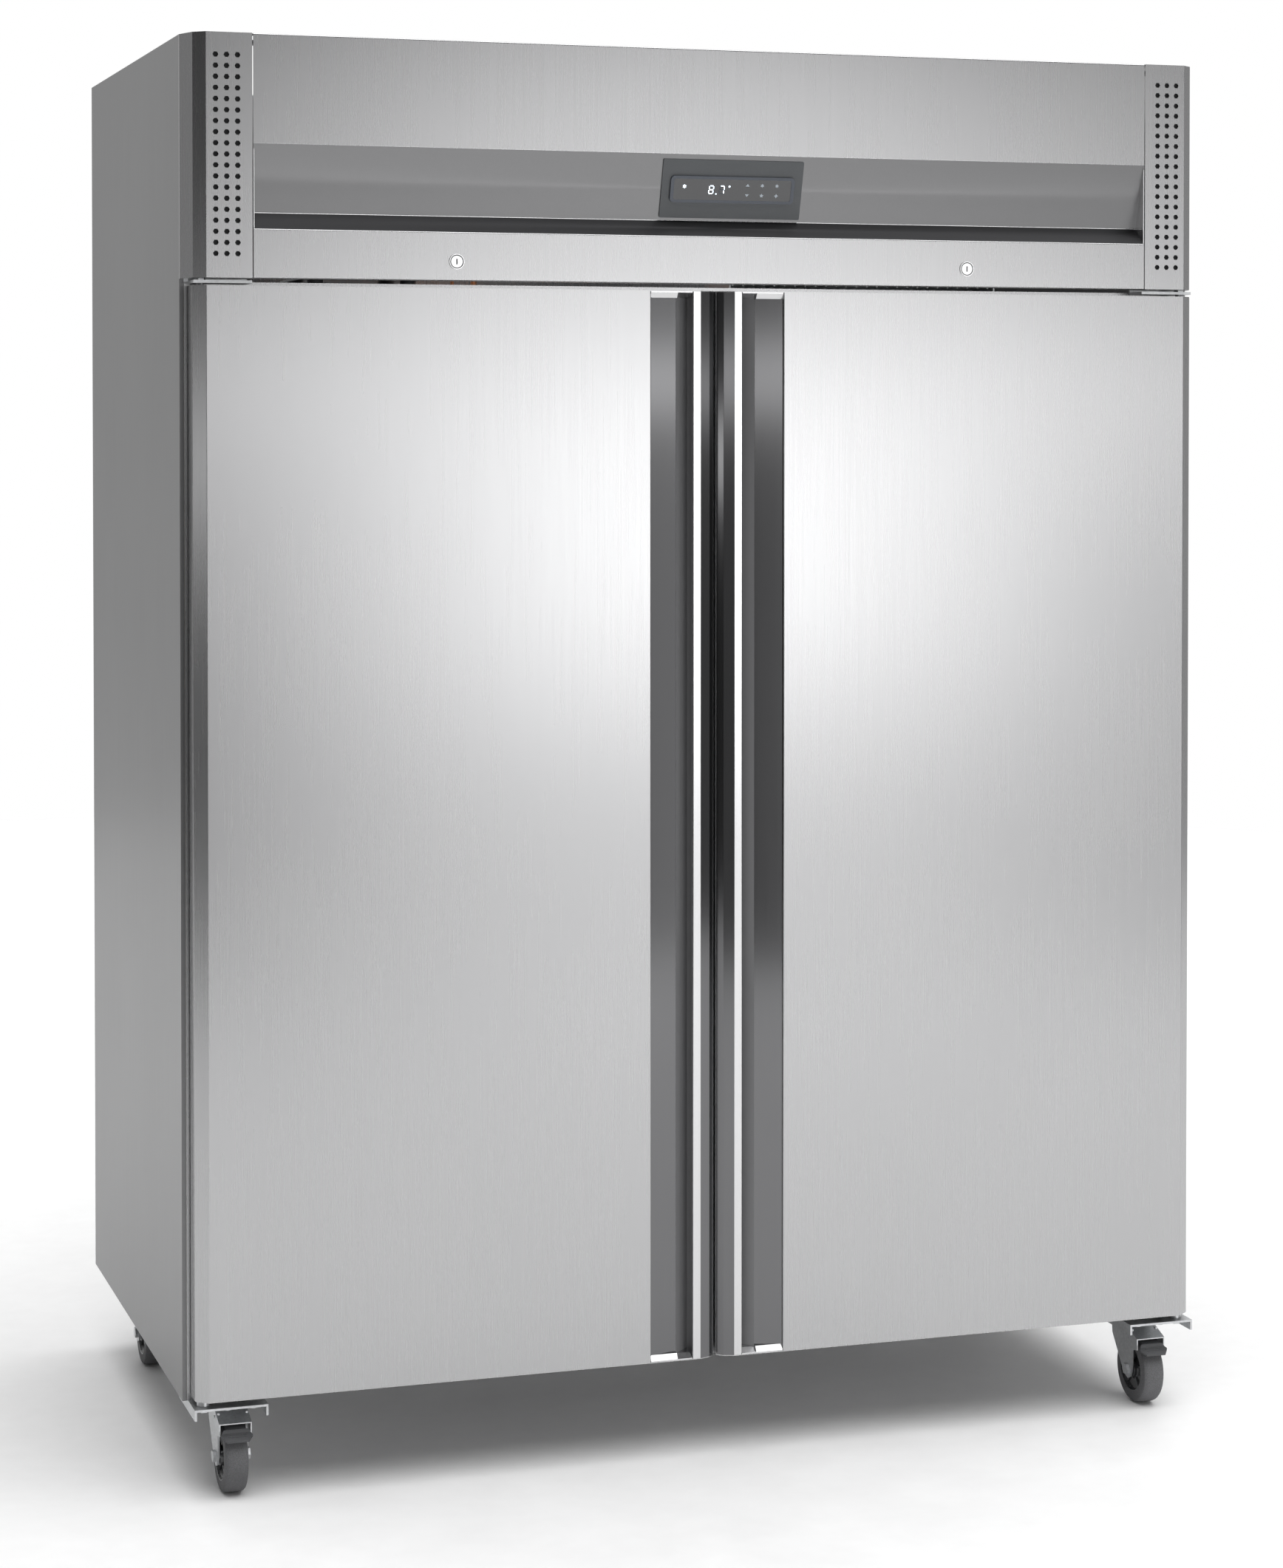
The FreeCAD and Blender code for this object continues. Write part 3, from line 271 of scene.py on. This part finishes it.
def surface(name, color, rough, metallic=0.0, grain=400.0, shade=0.06, bump=0.15, coat=0.0):
    """Moulded, painted, cast or plated stock: fine texture, drifting tone and uneven gloss."""
    material, tree, shader = new_material(name)
    fine = noise(tree, grain, 4)
    broad = noise(tree, 9, 3)
    speckle = spread(tree, fine, 1 - shade, 1 + shade)
    drift = spread(tree, broad, 1 - shade, 1 + shade)
    tree.links.new(tinted(tree, color, multiply(tree, speckle, drift)), shader.inputs["Base Color"])
    gloss = spread(tree, broad, rough * 0.85, min(1.0, rough * 1.15))
    tree.links.new(gloss, shader.inputs["Roughness"])
    shader.inputs["Metallic"].default_value = metallic
    shader.inputs["Coat Weight"].default_value = coat
    bumped(tree, shader, fine, bump, 0.0002)
    return material


def glowing(name, color, strength):
    material, tree, shader = new_material(name)
    fine = noise(tree, 2500, 2)
    tree.links.new(tinted(tree, color, spread(tree, fine, 0.94, 1.0)), shader.inputs["Base Color"])
    shader.inputs["Emission Color"].default_value = (*color, 1)
    shader.inputs["Emission Strength"].default_value = strength
    shader.inputs["Roughness"].default_value = 0.4
    return material


STEEL = (0.43, 0.43, 0.435)
FINISHES = {
    "brushed_steel": lambda: brushed("steel", STEEL, 0.27),
    "handle_steel": lambda: brushed("handle_metal", (0.6, 0.6, 0.605), 0.24),
    "zinc_steel": lambda: surface("zinc", (0.56, 0.57, 0.58), 0.38, 0.9, 260, 0.1, 0.2),
    "foam": lambda: surface("foam", (0.82, 0.74, 0.5), 0.9, 0, 600, 0.08, 0.5),
    "gasket": lambda: surface("gasket_rubber", (0.13, 0.13, 0.14), 0.6, 0, 700, 0.1, 0.2),
    "bush_plastic": lambda: surface("bush", (0.05, 0.05, 0.05), 0.5),
    "display_frame": lambda: surface("display_paint", (0.085, 0.09, 0.095), 0.45, 0.3, 1500, 0.12, 0.25),
    "controller": lambda: surface("bezel_plastic", (0.045, 0.055, 0.075), 0.3, 0, 1800, 0.06, 0.08,
                                  coat=0.3),
    "chrome": lambda: surface("chrome", (0.82, 0.82, 0.83), 0.12, 1.0, 500, 0.03, 0.05),
    "black_enamel": lambda: surface("enamel", (0.025, 0.025, 0.027), 0.35, 0, 350, 0.15, 0.25, coat=0.4),
    "fin_aluminium": lambda: brushed("fins", (0.72, 0.73, 0.74), 0.35),
    "fan_plastic": lambda: surface("fan_blades", (0.035, 0.036, 0.038), 0.5),
    "copper": lambda: surface("copper", (0.72, 0.36, 0.2), 0.3, 1.0, 300, 0.12, 0.1),
    "castor_tread": lambda: surface("tread", (0.11, 0.11, 0.115), 0.75, 0, 800, 0.25, 0.6),
    "pedal_plastic": lambda: surface("pedal", (0.055, 0.056, 0.06), 0.5, 0, 900, 0.12, 0.3),
    "lamp": lambda: glowing("lamp_cover", (0.95, 0.96, 0.94), 0.3),
    "nylon": lambda: surface("nylon", (0.03, 0.03, 0.03), 0.45),
    "grey_box": lambda: surface("powder_coat", (0.5, 0.51, 0.52), 0.5, 0, 1200, 0.05, 0.5),
}


def finish_cad_nodes():
    made = {slot: make() for slot, make in FINISHES.items()}
    for part in frame["record"]["subparts"]:
        slots = nodes[part["node"]].data.materials
        slots.clear()
        slots.append(made[part["material_slot"]])
    # The side panels get a darker copy of the steel: painted shade on the sides of the cabinet.
    side_steel_painted_shade = brushed("side_steel_painted_shade", (0.21, 0.21, 0.213), 0.34)
    for name in ("left", "right"):
        nodes["side_panel_" + name].data.materials[0] = side_steel_painted_shade
    nodes["inner_liner"].data.materials[0] = brushed("liner_steel", (0.7, 0.7, 0.71), 0.3)
    return made


# ---------------------------------------------------------------- mesh helpers

def mesh_piece(name, verts, faces, material, body, smooth=True):
    data = bpy.data.meshes.new(name)
    data.from_pydata([Vector(v) for v in verts], [], faces)
    work = bmesh.new()
    work.from_mesh(data)
    bmesh.ops.remove_doubles(work, verts=work.verts, dist=1e-6)
    bmesh.ops.recalc_face_normals(work, faces=work.faces)
    work.to_mesh(data)
    work.free()
    if smooth:
        data.shade_smooth()
        data.set_sharp_from_angle(angle=math.radians(28))
    piece = bpy.data.objects.new(name, data)
    for item in material if isinstance(material, list) else [material]:
        data.materials.append(item)
    bpy.context.scene.collection.objects.link(piece)
    if smooth:
        flat = piece.modifiers.new("flat_faces", "WEIGHTED_NORMAL")
        flat.weight = 100
        flat.keep_sharp = True
    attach(piece, body)
    return piece


def rounded(points, radius, steps=5, closed=False):
    """The same line with each corner turned into an arc."""
    result = []
    count = len(points)
    for i, p in enumerate(points):
        if not closed and i in (0, count - 1):
            result.append(tuple(p))
            continue
        here = Vector(p)
        to_prev = Vector(points[i - 1]) - here
        to_next = Vector(points[(i + 1) % count]) - here
        half = to_prev.angle(to_next) / 2
        cut = min(radius / math.tan(half), to_prev.length * 0.45, to_next.length * 0.45)
        start = here + to_prev.normalized() * cut
        end = here + to_next.normalized() * cut
        for k in range(steps + 1):
            t = k / steps
            spot = start * (1 - t) ** 2 + here * 2 * t * (1 - t) + end * t ** 2
            result.append(tuple(spot))
    return result


def offset_line(points, distance):
    """The line moved sideways to its left, its corners mitred."""
    moved = []
    for i, p in enumerate(points):
        normals = []
        for a, b in ((i - 1, i), (i, i + 1)):
            if a >= 0 and b < len(points):
                d = (Vector(points[b]) - Vector(points[a])).normalized()
                normals.append(Vector((-d.y, d.x)))
        n = sum(normals, Vector((0, 0))) / len(normals)
        moved.append(tuple(Vector(p) + n * (distance / n.length_squared)))
    return moved


def swept(outline, low, high, place):
    """Vertices and faces of a closed outline pulled from low to high; place(a, b, t) gives a point."""
    count = len(outline)
    verts = [place(a, b, low) for a, b in outline] + [place(a, b, high) for a, b in outline]
    faces = []
    for i in range(count):
        j = (i + 1) % count
        faces.append((i, j, count + j, count + i))
    faces += [tuple(range(count)), tuple(range(count, 2 * count))]
    return verts, faces


def joined(shapes):
    """The vertices and faces of several shapes as one."""
    verts, faces = [], []
    for shape_verts, shape_faces in shapes:
        faces += [tuple(i + len(verts) for i in face) for face in shape_faces]
        verts += shape_verts
    return verts, faces


def pierced(outline, hole, low, high, place):
    """A flat plate between two heights, with one hole through it."""
    corners = outline + hole
    count = len(corners)
    rings = [[Vector((a, b, 0)) for a, b in ring] for ring in (outline, hole)]
    triangles = tessellate_polygon(rings)
    verts = [place(a, b, low) for a, b in corners] + [place(a, b, high) for a, b in corners]
    faces = [tuple(t) for t in triangles] + [tuple(count + i for i in t) for t in triangles]
    for start, size in ((0, len(outline)), (len(outline), len(hole))):
        for i in range(size):
            here = start + i
            there = start + (i + 1) % size
            faces.append((here, there, count + there, count + here))
    return verts, faces


def upright(side):
    """Places an outline seen from above: side is 1 on the right and -1 on the left."""
    return lambda a, b, t: (side * a, FACE_Y + b, t)


def across(a, b, t):
    """Places an outline seen from the side: a is its depth and b its height."""
    return (t, FACE_Y + a, b)


def lathe(profile, segments=48):
    """Vertices and faces of (along, radius) points, in millimetres, turned about the X axis."""
    verts, faces = [], []
    for k in range(segments):
        angle = 2 * math.pi * k / segments
        for along, radius in profile:
            verts.append((along * MM, radius * MM * math.cos(angle), radius * MM * math.sin(angle)))
    rows = len(profile)
    for k in range(segments):
        n = (k + 1) % segments
        for r in range(rows):
            s = (r + 1) % rows
            faces.append((k * rows + r, k * rows + s, n * rows + s, n * rows + r))
    return verts, faces


# ---------------------------------------------------------------- doors

def door_outline():
    """The front of a door seen from above: channel edge, face, bevel and hinge side."""
    return [(CHANNEL_X, 4.5 * MM), (CHANNEL_X, 0), (BEVEL_X, 0), (DOOR_EDGE_X, 14 * MM),
            (DOOR_EDGE_X, DOOR_DEPTH)]


def make_door_face(side, name, steel):
    """One bent sheet from the handle channel round to the hinge side, with a cap at each end."""
    line = rounded(door_outline(), 1.6 * MM)
    outline = line + offset_line(line, 1.0 * MM)[::-1]
    verts, faces = swept(outline, DOOR_LOW + SHEET, DOOR_HIGH - SHEET, upright(side))
    face = mesh_piece("door_face_" + name, verts, faces, steel, "door_" + name)
    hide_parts("door_skin_" + name)
    cap = [(CHANNEL_X, 0.2 * MM), (BEVEL_X, 0.2 * MM), (DOOR_EDGE_X - 0.2 * MM, 14.2 * MM),
           (DOOR_EDGE_X - 0.2 * MM, DOOR_DEPTH), (DOOR_GAP_X, DOOR_DEPTH), (DOOR_GAP_X, 14 * MM),
           (2.2 * MM, 13 * MM), (10.5 * MM, 5.2 * MM), (25.5 * MM, 0.3 * MM), (36.6 * MM, 0.3 * MM)]
    cap = rounded(cap, 1.5 * MM, closed=True)
    # Both lock cams swing to the right, so the slot isn't mirrored with the door.
    inward, outward = (CAM_SHORT, CAM_LONG) if side > 0 else (CAM_LONG, CAM_SHORT)
    near = LOCK_X - inward
    far = LOCK_X + outward
    cam_slot = [(near, 14 * MM), (far, 14 * MM), (far, 25 * MM), (near, 25 * MM)]
    verts, faces = pierced(cap, cam_slot, DOOR_HIGH - SHEET, DOOR_HIGH, upright(side))
    mesh_piece("door_cap_top_" + name, verts, faces, steel, "door_" + name, smooth=False)
    verts, faces = swept(cap, DOOR_LOW, DOOR_LOW + SHEET, upright(side))
    mesh_piece("door_cap_bottom_" + name, verts, faces, steel, "door_" + name)


def make_handle(side, name, metals):
    """Channel, grip lip and bevelled edge, with ramped ends; the inner faces get darker metals, painted
    shade in the recess.
    """
    channel = [(CHANNEL_X - 0.2 * MM, 4.5 * MM), (59 * MM, 11 * MM), (37 * MM, 26 * MM), (30 * MM, 26 * MM),
               (30 * MM, 5 * MM), (36.7 * MM, 5 * MM), (36.7 * MM, 0), (25.5 * MM, 0), (10.5 * MM, 5 * MM),
               (2 * MM, 13 * MM), (DOOR_GAP_X, 14 * MM), (DOOR_GAP_X, 43 * MM)]
    front = rounded(channel, 1.2 * MM, 4)
    behind = [(3.5 * MM, 43 * MM), (3.5 * MM, 15 * MM), (11.2 * MM, 7.3 * MM), (25.8 * MM, 2.3 * MM),
              (28 * MM, 2.3 * MM), (28 * MM, 28 * MM), (37.8 * MM, 28 * MM), (60 * MM, 13 * MM),
              (CHANNEL_X - 0.2 * MM, 6.5 * MM)]
    low = DOOR_LOW + SHEET
    high = DOOR_HIGH - SHEET
    verts, faces = swept(front + behind, low, high, upright(side))
    handle = mesh_piece("handle_" + name, verts, faces, metals, "door_" + name)
    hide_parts("door_handle_" + name)
    # Faces inside the channel and its deep part get the darker metals: painted shade in the recess.
    for polygon in handle.data.polygons:
        x = abs(polygon.center.x)
        depth = polygon.center.y - FACE_Y
        if x > 57 * MM and depth > 4 * MM:
            polygon.material_index = 1
        elif x > 29 * MM and depth > 5 * MM:
            polygon.material_index = 2
        elif 2.5 * MM < x < 25 * MM and depth > 0.5 * MM:
            polygon.material_index = 1
    ramp = [(0.4 * MM, 0), (0.4 * MM, 1.5 * MM), (5 * MM, 9 * MM), (11 * MM, 10 * MM), (11 * MM, 0)]
    deep = [(0.4 * MM, 0), (0.4 * MM, 1.5 * MM), (11 * MM, 7 * MM), (26 * MM, 10 * MM), (26 * MM, 0)]
    wedges = ((59 * MM, CHANNEL_X - 0.4 * MM, ramp), (37.5 * MM, 59 * MM, deep))
    for end, base, up in (("top", high, -1), ("bottom", low, 1)):
        verts, faces = joined([swept(shape, x0, x1, lambda d, h, x: (side * x, FACE_Y + d, base + up * h))
                               for x0, x1, shape in wedges])
        mesh_piece(f"handle_end_{end}_{name}", verts, faces, metals[0], "door_" + name,
                   smooth=False)


def make_gasket(side, name, rubber):
    """A ribbed magnetic gasket: a flat base, a bellows and a rounded sealing bead."""
    low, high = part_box("door_gasket_" + name)
    near, far = sorted((abs(low.x), abs(high.x)))
    profile = rounded([(0, 0), (19 * MM, 0), (18 * MM, 2 * MM), (15 * MM, 2.6 * MM), (18 * MM, 3.4 * MM),
                       (17 * MM, 5.5 * MM), (3 * MM, 5.5 * MM), (1.5 * MM, 3.4 * MM), (4 * MM, 2.6 * MM),
                       (1 * MM, 2 * MM)], 0.8 * MM, 3, closed=True)
    corners = [(near, low.z, 1, 1), (far, low.z, -1, 1), (far, high.z, -1, -1), (near, high.z, 1, -1)]
    verts, faces = [], []
    for x, z, sx, sz in corners:
        verts += [(side * (x + sx * a), low.y + b, z + sz * a) for a, b in profile]
    n = len(profile)
    for c in range(4):
        for i in range(n):
            j = (i + 1) % n
            faces.append((c * n + i, c * n + j, (c + 1) % 4 * n + j, (c + 1) % 4 * n + i))
    gasket = mesh_piece("gasket_" + name, verts, faces, rubber, "door_" + name)
    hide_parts("door_gasket_" + name)


# ---------------------------------------------------------------- service panel and display

def make_fascia(steel, shadow, slope, edge):
    """The folded service panel, its recess closed at both ends."""
    line = rounded([(24 * MM, HOOD_HIGH - 0.2 * MM), (0, HOOD_HIGH - 0.2 * MM), (0, FOLD_Z),
                    (RECESS_DEPTH, LIP_Z), (0, LEDGE_Z), (0, HOOD_LOW), (24 * MM, HOOD_LOW)], 2.2 * MM, 6)
    outline = line + offset_line(line, SHEET)[::-1]
    verts, faces = swept(outline, -PANEL_X, PANEL_X, across)
    metals = [steel, shadow, slope]
    panel = mesh_piece("service_panel", verts, faces, metals, "service_panel")
    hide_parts("fascia_panel")
    for polygon in panel.data.polygons:
        # The ledge under the display gets a near-black copy of the steel: painted shade.
        if LEDGE_Z + 1 * MM < polygon.center.z < LIP_Z - 1 * MM:
            polygon.material_index = 1
        # The sloping face gets a darker copy of the steel: painted shade in the recess.
        elif LIP_Z < polygon.center.z < FOLD_Z - 2 * MM:
            polygon.material_index = 2
    # The end walls of the recess get a lighter copy of the steel: a painted highlight on the bent edge.
    wall = rounded([(0.2 * MM, FOLD_Z), (RECESS_DEPTH, LIP_Z), (0.2 * MM, LEDGE_Z)], 1 * MM, 3, closed=True)
    for side, name in SIDES:
        x0, x1 = sorted((side * (PANEL_X - SHEET), side * PANEL_X))
        verts, faces = swept(wall, x0, x1, across)
        mesh_piece("recess_end_" + name, verts, faces, edge, "service_panel", smooth=False)


# Heights above the sloping face.
GLASS_LOW = 4.2 * MM
GLASS_HIGH = 4.6 * MM
PRINT_LOW = 4.65 * MM
KEY_HIGH = 4.8 * MM
LIT_HIGH = 4.85 * MM


def on_slope(x, up, out):
    """A point on the sloping face: x to the right, up the slope and out of it, from its lower lip."""
    y = FACE_Y + RECESS_DEPTH - up * math.sin(SLOPE_ANGLE) - out * math.cos(SLOPE_ANGLE)
    z = LIP_Z + up * math.cos(SLOPE_ANGLE) - out * math.sin(SLOPE_ANGLE)
    return (CONTROLLER_X + x, y, z)


def slope_plate(name, outline, low, high, material):
    verts, faces = swept(outline, low, high, on_slope)
    mesh_piece(name, verts, faces, material, "service_panel")


def rectangle(x, y, wide, tall, radius=0.0):
    corners = [(x - wide / 2, y - tall / 2), (x + wide / 2, y - tall / 2),
               (x + wide / 2, y + tall / 2), (x - wide / 2, y + tall / 2)]
    return rounded(corners, radius, 5, closed=True) if radius else corners


# Which bars of a figure are on, and where each bar is: across, up, and whether it stands.
SEGMENTS = {"8": "abcdefg", "7": "abc"}
PLACES = {"a": (0, 1, 0), "b": (1, 0.5, 1), "c": (1, -0.5, 1), "d": (0, -1, 0), "e": (-1, -0.5, 1),
          "f": (-1, 0.5, 1), "g": (0, 0, 0)}


def make_digit(name, digit, x, y, lit, dim):
    """A seven-segment figure; segments that are off stay faintly visible."""
    wide, tall, bar = 3.1 * MM, 5.6 * MM, 1.3 * MM
    for kind, material in (("on", lit), ("off", dim)):
        bars = []
        for key, (px, py, standing) in PLACES.items():
            if (key in SEGMENTS[digit]) != (kind == "on"):
                continue
            length = tall - bar if standing else 2 * wide - bar
            size = (bar, length) if standing else (length, bar)
            slant = py * tall * 0.12
            outline = rectangle(x + px * wide + slant, y + py * tall, size[0], size[1], bar * 0.4)
            bars.append(swept(outline, PRINT_LOW, LIT_HIGH, on_slope))
        if bars:
            verts, faces = joined(bars)
            mesh_piece(f"{name}_{kind}", verts, faces, material, "service_panel",
                       smooth=False)


def icon_outline(kind, x, y, size):
    """Simple generic key symbols."""
    if kind == "up":
        return [(x - size, y - size * 0.5), (x + size, y - size * 0.5), (x, y + size * 0.7)]
    if kind == "down":
        return [(x - size, y + size * 0.5), (x, y - size * 0.7), (x + size, y + size * 0.5)]
    points = []
    spikes = {"frost": 6, "lamp": 8, "set": 5}.get(kind, 4)
    for k in range(spikes * 2):
        reach = size if k % 2 == 0 else size * 0.55
        angle = math.pi * k / spikes + math.pi / 2
        points.append((x + reach * math.cos(angle), y + reach * math.sin(angle)))
    return points


def make_controller():
    """The window, two figures with their point, two signs and six keys on the sloping face."""
    middle = 46 * MM
    lit = glowing("digit_on", (0.75, 0.88, 1.0), 2.6)
    dim = surface("digit_off", (0.06, 0.07, 0.09), 0.4)
    grey = surface("key_print", (0.42, 0.47, 0.52), 0.5, 0, 2500, 0.05, 0.02)
    glass = surface("window_glass", (0.006, 0.007, 0.01), 0.08, 0, 1500, 0.1, 0.01, coat=1.0)
    window = rectangle(0, middle, 175.2 * MM, 30.2 * MM, 3 * MM)
    slope_plate("controller_window", window, GLASS_LOW, GLASS_HIGH, glass)
    make_digit("digit_whole", "8", -32 * MM, middle, lit, dim)
    make_digit("digit_tenth", "7", -16 * MM, middle, lit, dim)
    point = rectangle(-24.4 * MM, middle - 6 * MM, 1.7 * MM, 1.7 * MM, 0.5 * MM)
    slope_plate("digit_point", point, PRINT_LOW, LIT_HIGH, lit)
    star = icon_outline("frost", -72 * MM, middle + 4 * MM, 3 * MM)
    slope_plate("status_star", star, PRINT_LOW, LIT_HIGH, lit)
    ring = icon_outline("lamp", -5 * MM, middle + 5 * MM, 1.7 * MM)
    slope_plate("degree_ring", ring, PRINT_LOW, LIT_HIGH, lit)
    for row, kinds in ((1, ("up", "frost", "lamp")), (-1, ("down", "set", "power"))):
        for column, kind in enumerate(kinds):
            symbol = icon_outline(kind, 22 * MM + column * 22 * MM, middle + row * 7.2 * MM, 3.1 * MM)
            slope_plate("key_" + kind, symbol, PRINT_LOW, KEY_HIGH, grey)
    edge = nodes["controller"].modifiers.new("soft_edges", "BEVEL")
    edge.width = 0.6 * MM
    edge.segments = 2


# The ring round a lock, as (along, radius) in millimetres.
LOCK_RING = [(-2.0, 8.3), (-2.0, 9.6), (-1.2, 10.5), (0, 10.5), (0, 8.3)]


def make_locks(chrome, dark):
    """A turned ring round each lock, and a black bar in its plug where the keyway is: painted shade for the
    slot.
    """
    turn = Matrix.Rotation(math.radians(90), 4, "Z")
    keyway = rounded([(-0.9 * MM, -3.8 * MM), (0.9 * MM, -3.8 * MM), (0.9 * MM, 3.8 * MM),
                      (-0.9 * MM, 3.8 * MM)], 0.6 * MM, 3, closed=True)
    for side, name in SIDES:
        centre = Vector((side * LOCK_X, FACE_Y, LOCK_Z))
        verts, faces = lathe(LOCK_RING)
        verts = [turn @ Vector(v) + centre for v in verts]
        mesh_piece("lock_ring_" + name, verts, faces, chrome, "service_panel")
        # A solid black bar stands in for the keyway opening: painted shade.
        verts, faces = swept(keyway, FACE_Y - 1.55 * MM, FACE_Y + 3 * MM,
                             lambda a, b, t: (centre.x + a, t, centre.z + b))
        mesh_piece("keyway_" + name, verts, faces, dark, "lock_" + name, smooth=False)


# ---------------------------------------------------------------- castors

# Outlines of the tyre and the hub as (along, radius), and of a rib, in millimetres.
TYRE = [(-16, 34), (-16, 44), (-15.2, 46.6), (-13, 48.6), (-9.5, 49.6), (-5, 50), (5, 50), (9.5, 49.6),
        (13, 48.6), (15.2, 46.6), (16, 44), (16, 34)]
HUB = [(-16.5, 6.2), (-16.5, 12.6), (-15.8, 13.2), (-12, 14), (-10.6, 16), (-10.2, 22), (-11, 30),
       (-13, 31.4), (-15.4, 32), (-15.8, 33), (-15.8, 35), (15.8, 35), (15.8, 33), (15.4, 32), (13, 31.4),
       (11, 30), (10.2, 22), (10.6, 16), (12, 14), (15.8, 13.2), (16.5, 12.6), (16.5, 6.2)]
RIB = [(-1.6, 13), (1.6, 13), (1.2, 31), (-1.2, 31)]
RIBS = 5


def make_wheel(end, side, tread, gloss):
    """A tyre moulded over a dished hub, with raised ribs on both faces."""
    name = f"{end}_{side}"
    low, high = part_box("castor_wheel_" + name)
    centre = (low + high) / 2
    for label, profile, material in (("tyre", TYRE, tread), ("hub", HUB, gloss)):
        verts, faces = lathe(profile, 64)
        verts = [Vector(v) + centre for v in verts]
        piece = mesh_piece(f"wheel_{label}_{name}", verts, faces, material, "wheel_" + name)
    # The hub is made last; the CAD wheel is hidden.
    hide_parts("castor_wheel_" + name)
    ribs = []
    for face in (-1, 1):
        x0, x1 = sorted((face * 10 * MM, face * 12.6 * MM))
        for k in range(RIBS):
            turn = Matrix.Rotation(math.radians(360 / RIBS * k), 4, "X")
            ribs.append(swept(RIB, x0, x1, lambda y, z, x: turn @ Vector((x, y * MM, z * MM)) + centre))
    verts, faces = joined(ribs)
    mesh_piece("wheel_ribs_" + name, verts, faces, gloss, "wheel_" + name, smooth=False)


def make_shade_sheet(side, name, mat):
    """A near-black sheet just behind the perforated end of the hood: painted shade for the dark inside."""
    near, far = 0.667, 0.725
    outline = rounded([(near, 3 * MM), (far, 3 * MM), (far, 7 * MM), (near, 7 * MM)], 1 * MM, 3, closed=True)
    verts, faces = swept(outline, HOOD_LOW + 8 * MM, HOOD_HIGH - 8 * MM, upright(side))
    mesh_piece("hood_shade_sheet_" + name, verts, faces, mat, "cabinet", smooth=False)


def soften(node, width):
    """A small rounded edge on a CAD piece, by modifiers only."""
    weld = nodes[node].modifiers.new("weld", "WELD")
    weld.merge_threshold = 0.01 * MM
    edge = nodes[node].modifiers.new("soft_edges", "BEVEL")
    edge.width = width
    edge.segments = 2
    edge.limit_method = "ANGLE"
    edge.angle_limit = math.radians(40)


make_camera()
made = finish_cad_nodes()
make_stage()

door_steel = made["brushed_steel"]
# Darker copies of the steel for the handle channel and its deep part: painted shade in the recess.
channel_painted_shade = brushed("channel_painted_shade", (0.16, 0.16, 0.164), 0.13)
deep_channel_painted_shade = brushed("channel_depth_painted_shade", (0.2, 0.2, 0.205), 0.45, metallic=0.3)
# A near-black copy of the steel for the ledge under the display: painted shade.
ledge_painted_shade = brushed("ledge_shadow", (0.05, 0.05, 0.052), 0.4, along="x")
# A darker copy of the steel for the sloping face of the recess: painted shade.
slope_painted_shade = brushed("slope_painted_shade", (0.2, 0.2, 0.203), 0.3)
# A lighter copy of the steel for the recess end walls: a painted highlight on the bent edge.
edge_painted_highlight = brushed("bent_edge_painted_highlight", (0.74, 0.74, 0.745), 0.22)
# A near-black sheet behind the perforated hood ends: painted shade for the dark inside.
painted_shade_sheet = surface("painted_shade_sheet", (0.02, 0.02, 0.021), 0.95, 0, 900, 0.3, 0.8)
gloss_black = surface("hub_plastic", (0.028, 0.029, 0.031), 0.22, 0, 700, 0.1, 0.08, coat=0.5)

for side, name in SIDES:
    make_door_face(side, name, door_steel)
    make_handle(side, name, [made["handle_steel"], channel_painted_shade, deep_channel_painted_shade])
    make_gasket(side, name, made["gasket"])
    make_shade_sheet(side, name, painted_shade_sheet)
make_fascia(door_steel, ledge_painted_shade, slope_painted_shade, edge_painted_highlight)
make_controller()
make_locks(made["chrome"], made["black_enamel"])
for end in ("front", "rear"):
    for name in ("left", "right"):
        make_wheel(end, name, made["castor_tread"], gloss_black)
for name in ("left", "right"):
    soften("brake_pedal_" + name, 0.8 * MM)
    soften("lock_plug_" + name, 0.4 * MM)
    soften("door_inner_panel_" + name, 1.5 * MM)
for node in ("display_surround", "top_hinges", "bottom_hinges", "electrical_box", "compressor",
             "cabinet_lamp"):
    soften(node, 0.8 * MM)
